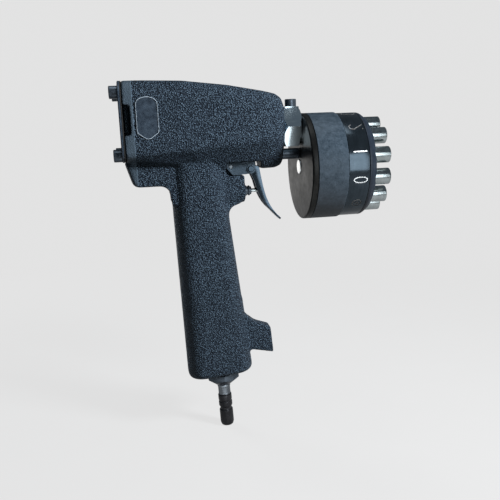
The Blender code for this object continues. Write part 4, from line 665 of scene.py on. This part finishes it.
def build_disc():
    """The still carrier behind the turret, open where the hammer and the detent's ball pass."""
    back, front = x_span("carrier_disc")
    seam = back + 0.0042
    spigot = TURRET_RADIUS - SLEEVE_WALL - RUNNING_GAP
    hole = AXLE_RADIUS + RUNNING_GAP
    profile = rounded([(hole, back), (TURRET_RADIUS, back), (TURRET_RADIUS, seam), (spigot, seam),
                       (spigot, front), (hole, front)], [0, 0.0015, 0.0003, 0, 0, 0], 8)
    strike_bore, ball_bore = 0.0043, 0.0023
    strike = rod("strike", strike_bore, back - CUT_REACH, front + CUT_REACH,
                 axis_frame(Vector((0, 0, STRIKE_Z)), X_AXIS), 48)
    ball_low, ball_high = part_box("detent_ball")
    ball_line = Vector((0, (ball_low[1] + ball_high[1]) / 2, DRUM_Z))
    pocket_end = x_span("detent_spring")[0] - RUNNING_GAP
    pocket = rod("pocket", ball_bore, pocket_end, front + CUT_REACH,
                 axis_frame(ball_line, X_AXIS), 24)
    disc = shaded(cut_with(turned("carrier", profile, drum_frame()), strike, pocket))
    place_piece("carrier", disc, "disc", "gun", "black_steel", "carrier_disc")


def build_axle():
    """The turret's axle; its bright rear end shows in the carrier."""
    back, front = x_span("axle")
    seat = x_span("carrier_disc")[1] + 0.0004
    flange, journal = 0.0090, 0.0049
    profile = rounded([(0, back), (AXLE_RADIUS, back), (AXLE_RADIUS, seat), (flange, seat),
                       (flange, seat + 0.0020), (journal, seat + 0.0020), (journal, front),
                       (0, front)],
                      [0, 0.0005, 0, 0.0003, 0.0003, 0, 0.0004, 0])
    axle = turned("axle_shaft", profile, drum_frame(), 48)
    place_piece("axle_shaft", axle, "cap", "gun", "bright_steel", "axle")


# Fastenings and small turned pieces

def socket_head(name, place, axis, radius, height, node):
    """Screw head with a six-sided socket, standing for the node."""
    matrix = axis_frame(place, axis)
    profile = rounded([(0, 0), (radius, 0), (radius, height), (0, height)], [0, 0.0002, 0.0006, 0])
    head = turned(name, profile, matrix, 48)
    turn = Matrix.Rotation(math.radians(30), 4, "Z")
    socket = rod("socket", radius * 0.56, height * 0.45, height + CUT_REACH, matrix @ turn, 6)
    place_piece(name, shaded(cut_with(head, socket)), "oxide", "gun", "black_steel", node)


def build_screws():
    """Heads of the rear plate's four screws and of the collar's screw."""
    rear_radius, collar_radius = 0.0044, 0.00425
    seat = x_span("rear_plate")[0]
    for index in range(1, 5):
        node = f"rear_screw_{index}"
        low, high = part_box(node)
        place = Vector((seat, (low[1] + high[1]) / 2, (low[2] + high[2]) / 2))
        socket_head(f"rear_head_{index}", place, -X_AXIS, rear_radius, seat - low[0], node)
    low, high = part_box("collar_screw")
    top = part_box("hex_collar")[1][2]
    place = Vector(((low[0] + high[0]) / 2, 0, top))
    socket_head("collar_head", place, Z_AXIS, collar_radius, high[2] - top, "collar_screw")


def build_valve_nose():
    """Grooved front of the valve's bush."""
    back, front = x_span("valve_bush")
    bore = 0.0017
    profile = rounded([(bore, back), (0.0039, back), (0.0039, front - 0.0036),
                       (0.0032, front - 0.0034), (0.0032, front - 0.0026),
                       (0.0038, front - 0.0024), (0.0038, front - 0.0012),
                       (0.0030, front - 0.0010), (0.0030, front), (bore, front)],
                      [0, 0.0003, 0.0002, 0.0001, 0.0001, 0.0003, 0.0003, 0.0001, 0.0003, 0])
    nose = turned("valve_nose", profile, frame_along_x("valve_bush"), 48)
    place_piece("valve_nose", nose, "oxide", "gun", "black_steel", "valve_bush")


def build_pin():
    """The round pin under the collar that keeps the carrier from turning."""
    back, front = x_span("locating_pin")
    radius = 0.0041
    profile = rounded([(0, back), (radius, back), (radius, front), (0, front)], 0.0004)
    pin = turned("guide_pin", profile, frame_along_x("locating_pin"), 64)
    place_piece("guide_pin", pin, "oxide", "gun", "black_steel", "locating_pin")


def build_inlet():
    """Plain neck and quick-connect plug under the foot, on the inlet's own axis."""
    lean = math.radians(2.6)
    start = Vector((0.0067095, 0, -0.0739))
    matrix = axis_frame(start, Vector((math.sin(lean), 0, -math.cos(lean))))
    bore = 0.0021
    neck = rounded([(bore, 0.0070), (0.0040, 0.0070), (0.0040, 0.0117), (0.0047, 0.0117),
                    (0.0051, 0.0124), (0.0051, 0.0140), (0.0048, 0.0144), (0.0048, 0.0196),
                    (0.0050, 0.0204), (bore, 0.0204)],
                   [0, 0.0002, 0, 0.0003, 0.0003, 0.0003, 0.0003, 0.0004, 0.0004, 0])
    neck = turned("plain_neck", neck, matrix, 64)
    place_piece("plain_neck", neck, "grey", "gun", "grey_steel", "inlet_neck")
    bore = 0.0019
    plug = rounded([(bore, 0.0169), (0.0028, 0.0169), (0.0028, 0.0207), (0.0050, 0.0207),
                    (0.0054, 0.0213), (0.0054, 0.0256), (0.0050, 0.0260), (0.0050, 0.0268),
                    (0.0054, 0.0272), (0.0054, 0.0306), (0.0046, 0.0315), (0.0046, 0.0333),
                    (0.0054, 0.0342), (0.0054, 0.0452), (0.0045, 0.0473), (bore, 0.0473)],
                   [0, 0.0002, 0, 0.0003, 0.0004, 0.0003, 0.0002, 0.0002, 0.0003, 0.0004, 0.0004,
                    0.0004, 0.0004, 0.0012, 0.0006, 0])
    plug = turned("quick_plug", plug, matrix, 64)
    place_piece("quick_plug", plug, "plug", "gun", "black_steel", "air_plug")


# The looks of the CAD nodes; a node that isn't named is black oxide
NODE_LOOKS = {
    "crinkle": ("housing",),
    "smooth": ("rear_plate",),
    "sleeve": ("grip_sleeve",),
    "plate": ("front_plate",),
    "band": ("turret_drum",),
    "disc": ("carrier_disc",),
    "punch": ("hammer_piston", "detent_ball", "valve_stem")
             + tuple(f"punch_{index + 1:02d}" for index in range(PUNCH_COUNT)),
    "cap": ("axle",),
    "collar": ("hex_collar",),
    "lever": ("trigger_pin", "trigger_lever"),
    "grey": ("cylinder_liner", "axle_washer", "axle_nut", "bracket_pin", "hammer_spring",
             "valve_spring", "detent_spring", "inlet_neck"),
    "plug": ("air_plug",),
    "bronze": ("nose_bush", "turret_bush"),
    "bracket": ("trigger_bracket",),
    "rubber": ("front_buffer", "inlet_seal", "piston_ring", "return_ring", "valve_seal"),
    "fibre": ("rear_gasket",),
}


def finish_nodes():
    """Gives each CAD node its look."""
    looks = {node: look for look, group in NODE_LOOKS.items() for node in group}
    for node, piece in nodes.items():
        piece.data.materials.clear()
        piece.data.materials.append(LOOKS[looks.get(node, "oxide")])


# Studio and camera

# Name, place, target, width, height, power, colour, and the rays that don't see the lamp
LAMPS = (
    ("window", (0.44, -1.12, 0.185), (0.03, 0, 0.08), 0.45, 0.85, 4.6, (0.88, 0.95, 1.0),
     ("diffuse",)),
    ("side", (0.46, -0.36, 0.33), (0.02, 0, 0.06), 0.14, 0.14, 19.0, (0.94, 0.97, 1.0),
     ("glossy",)),
    ("wall", (-0.29, 1.45, -0.03), (0.07, 0, 0.08), 0.70, 0.24, 0.38, (1.0, 0.98, 0.95),
     ("diffuse",)),
    ("card", (0.03, -0.14, -0.115), (0.03, -0.14, 1.0), 0.18, 0.18, 0.11, (0.92, 0.97, 1.0),
     ("diffuse", "camera")),
    ("fill", (-0.75, 1.05, 0.50), (0, 0, 0.03), 0.60, 0.60, 34.0, (0.95, 0.98, 1.0),
     ("glossy",)),
    ("top", (0.05, -0.10, 1.15), (0.03, 0, 0.09), 0.60, 0.60, 3.0, (0.90, 0.96, 1.0), ()),
)


def build_world():
    """Pale to the camera, and dimmer in reflections and as light on the object."""
    world = bpy.data.worlds.new("studio")
    bpy.context.scene.world = world
    world.use_nodes = True
    tree = world.node_tree
    tree.nodes.clear()
    path = tree.nodes.new("ShaderNodeLightPath")
    seen = arithmetic(tree, "MAXIMUM", path.outputs["Is Camera Ray"],
                      path.outputs["Is Transmission Ray"])
    ambient = add(tree, "ShaderNodeBackground", Color=(0.62, 0.80, 1.0, 1), Strength=0.05)
    backdrop = add(tree, "ShaderNodeBackground", Color=(*PALE_BACKGROUND, 1), Strength=1.0)
    mirrored = add(tree, "ShaderNodeBackground", Color=(0.60, 0.72, 0.84, 1), Strength=0.13)
    unseen = mix_shader(tree, path.outputs["Is Glossy Ray"], ambient, mirrored)
    whole = mix_shader(tree, seen, unseen, backdrop)
    out = tree.nodes.new("ShaderNodeOutputWorld")
    tree.links.new(whole.outputs[0], out.inputs["Surface"])


def mix_shader(tree, share, first, second):
    mix = tree.nodes.new("ShaderNodeMixShader")
    tree.links.new(share, mix.inputs["Fac"])
    tree.links.new(first.outputs[0], mix.inputs[1])
    tree.links.new(second.outputs[0], mix.inputs[2])
    return mix


def build_lamps():
    for name, place, target, width, height, power, colour, unseen_by in LAMPS:
        data = bpy.data.lights.new(name, "AREA")
        data.shape = "RECTANGLE"
        data.size, data.size_y = width, height
        data.energy = power
        data.color = colour
        light = bpy.data.objects.new(name, data)
        bpy.context.scene.collection.objects.link(light)
        light.location = place
        aim = Vector(target) - Vector(place)
        light.rotation_euler = aim.to_track_quat("-Z", "Y").to_euler()
        for ray in unseen_by:
            setattr(light, "visible_" + ray, False)


def build_floor():
    """Matt floor that takes the shadow, under a glow that matches the backdrop.

    The camera sees nearly all glow, and reflections see most of it at the back only.
    """
    z = cad_box[0][2] - 0.0005
    half = 30.0
    corners = [(-half, -half, z), (half, -half, z), (half, half, z), (-half, half, z)]
    mesh = bpy.data.meshes.new("floor")
    mesh.from_pydata(corners, [], [(0, 1, 2, 3)])
    floor = bpy.data.objects.new("floor", mesh)
    bpy.context.scene.collection.objects.link(floor)
    material, tree, shader = new_material("floor")
    coord = object_coord(tree)
    path = tree.nodes.new("ShaderNodeLightPath")
    camera_ray, glossy_ray = path.outputs["Is Camera Ray"], path.outputs["Is Glossy Ray"]
    grain = noise(tree, coord, 30.0, 2.0)
    seen = ramp(tree, grain, ((0.3, 0.40), (0.7, 0.42)))
    bounced = ramp(tree, grain, ((0.3, 0.09), (0.7, 0.11)))
    tree.links.new(mixed(tree, camera_ray, bounced, seen), shader.inputs["Base Color"])
    shader.inputs["Roughness"].default_value = 0.9
    glow = add(tree, "ShaderNodeEmission", Color=(*PALE_BACKGROUND, 1), Strength=1.0)
    away = add(tree, "ShaderNodeVectorMath", operation="LENGTH")
    tree.links.new(coord, away.inputs[0])
    half_away = arithmetic(tree, "MULTIPLY", away.outputs["Value"], 0.5)
    even = ramp(tree, half_away, ((0.12, 0.93), (0.45, 1.03)))
    back = arithmetic(tree, "SUBTRACT", 1.0, share_below(tree, coord, "Y", 0.45, 0.15))
    mirrored = arithmetic(tree, "ADD", arithmetic(tree, "MULTIPLY", back, 0.50), 0.15)
    share = arithmetic(tree, "MAXIMUM", arithmetic(tree, "MULTIPLY", camera_ray, even),
                       arithmetic(tree, "MULTIPLY", glossy_ray, mirrored))
    whole = mix_shader(tree, share, shader, glow)
    tree.links.new(whole.outputs[0], tree.nodes["Material Output"].inputs["Surface"])
    mesh.materials.append(material)


def build_camera():
    """The photograph's camera, as fitted to it."""
    data = bpy.data.cameras.new("camera")
    data.sensor_width = 36.0
    data.lens = 43.807
    data.clip_start, data.clip_end = 0.01, 200.0
    camera = bpy.data.objects.new("camera", data)
    bpy.context.scene.collection.objects.link(camera)
    right = Vector((0.98522802, -0.16696988, -0.0380368))
    forward = Vector((0.15608023, 0.96692624, -0.20172411))
    up = Vector((0.07046063, 0.19280745, 0.97870352))
    matrix = Matrix((right, up, -forward)).transposed().to_4x4()
    matrix.translation = Vector((-0.0410, -0.4583, 0.1175))
    camera.matrix_world = matrix
    bpy.context.scene.camera = camera


finish_nodes()
casting()
build_bare_plate()
build_turret_skin()
build_punches()
build_digits()
build_disc()
build_axle()
build_screws()
build_valve_nose()
build_pin()
build_inlet()
edged("foot_bushing", "inlet_bushing", "oxide", "gun", "black_steel", 0.0003)
edged("collar", "hex_collar", "collar", "gun", "bright_steel", 0.00015)
edged("end_plate", "rear_plate", "smooth", "gun", "black_steel", 0.0004)
edged("clevis", "trigger_bracket", "bracket", "gun", "cast", 0.0004)
edged("lever", "trigger_lever", "lever", "trigger", "bright_steel", 0.0003)
bpy.context.scene.view_settings.view_transform = "Standard"
build_world()
build_lamps()
build_floor()
build_camera()
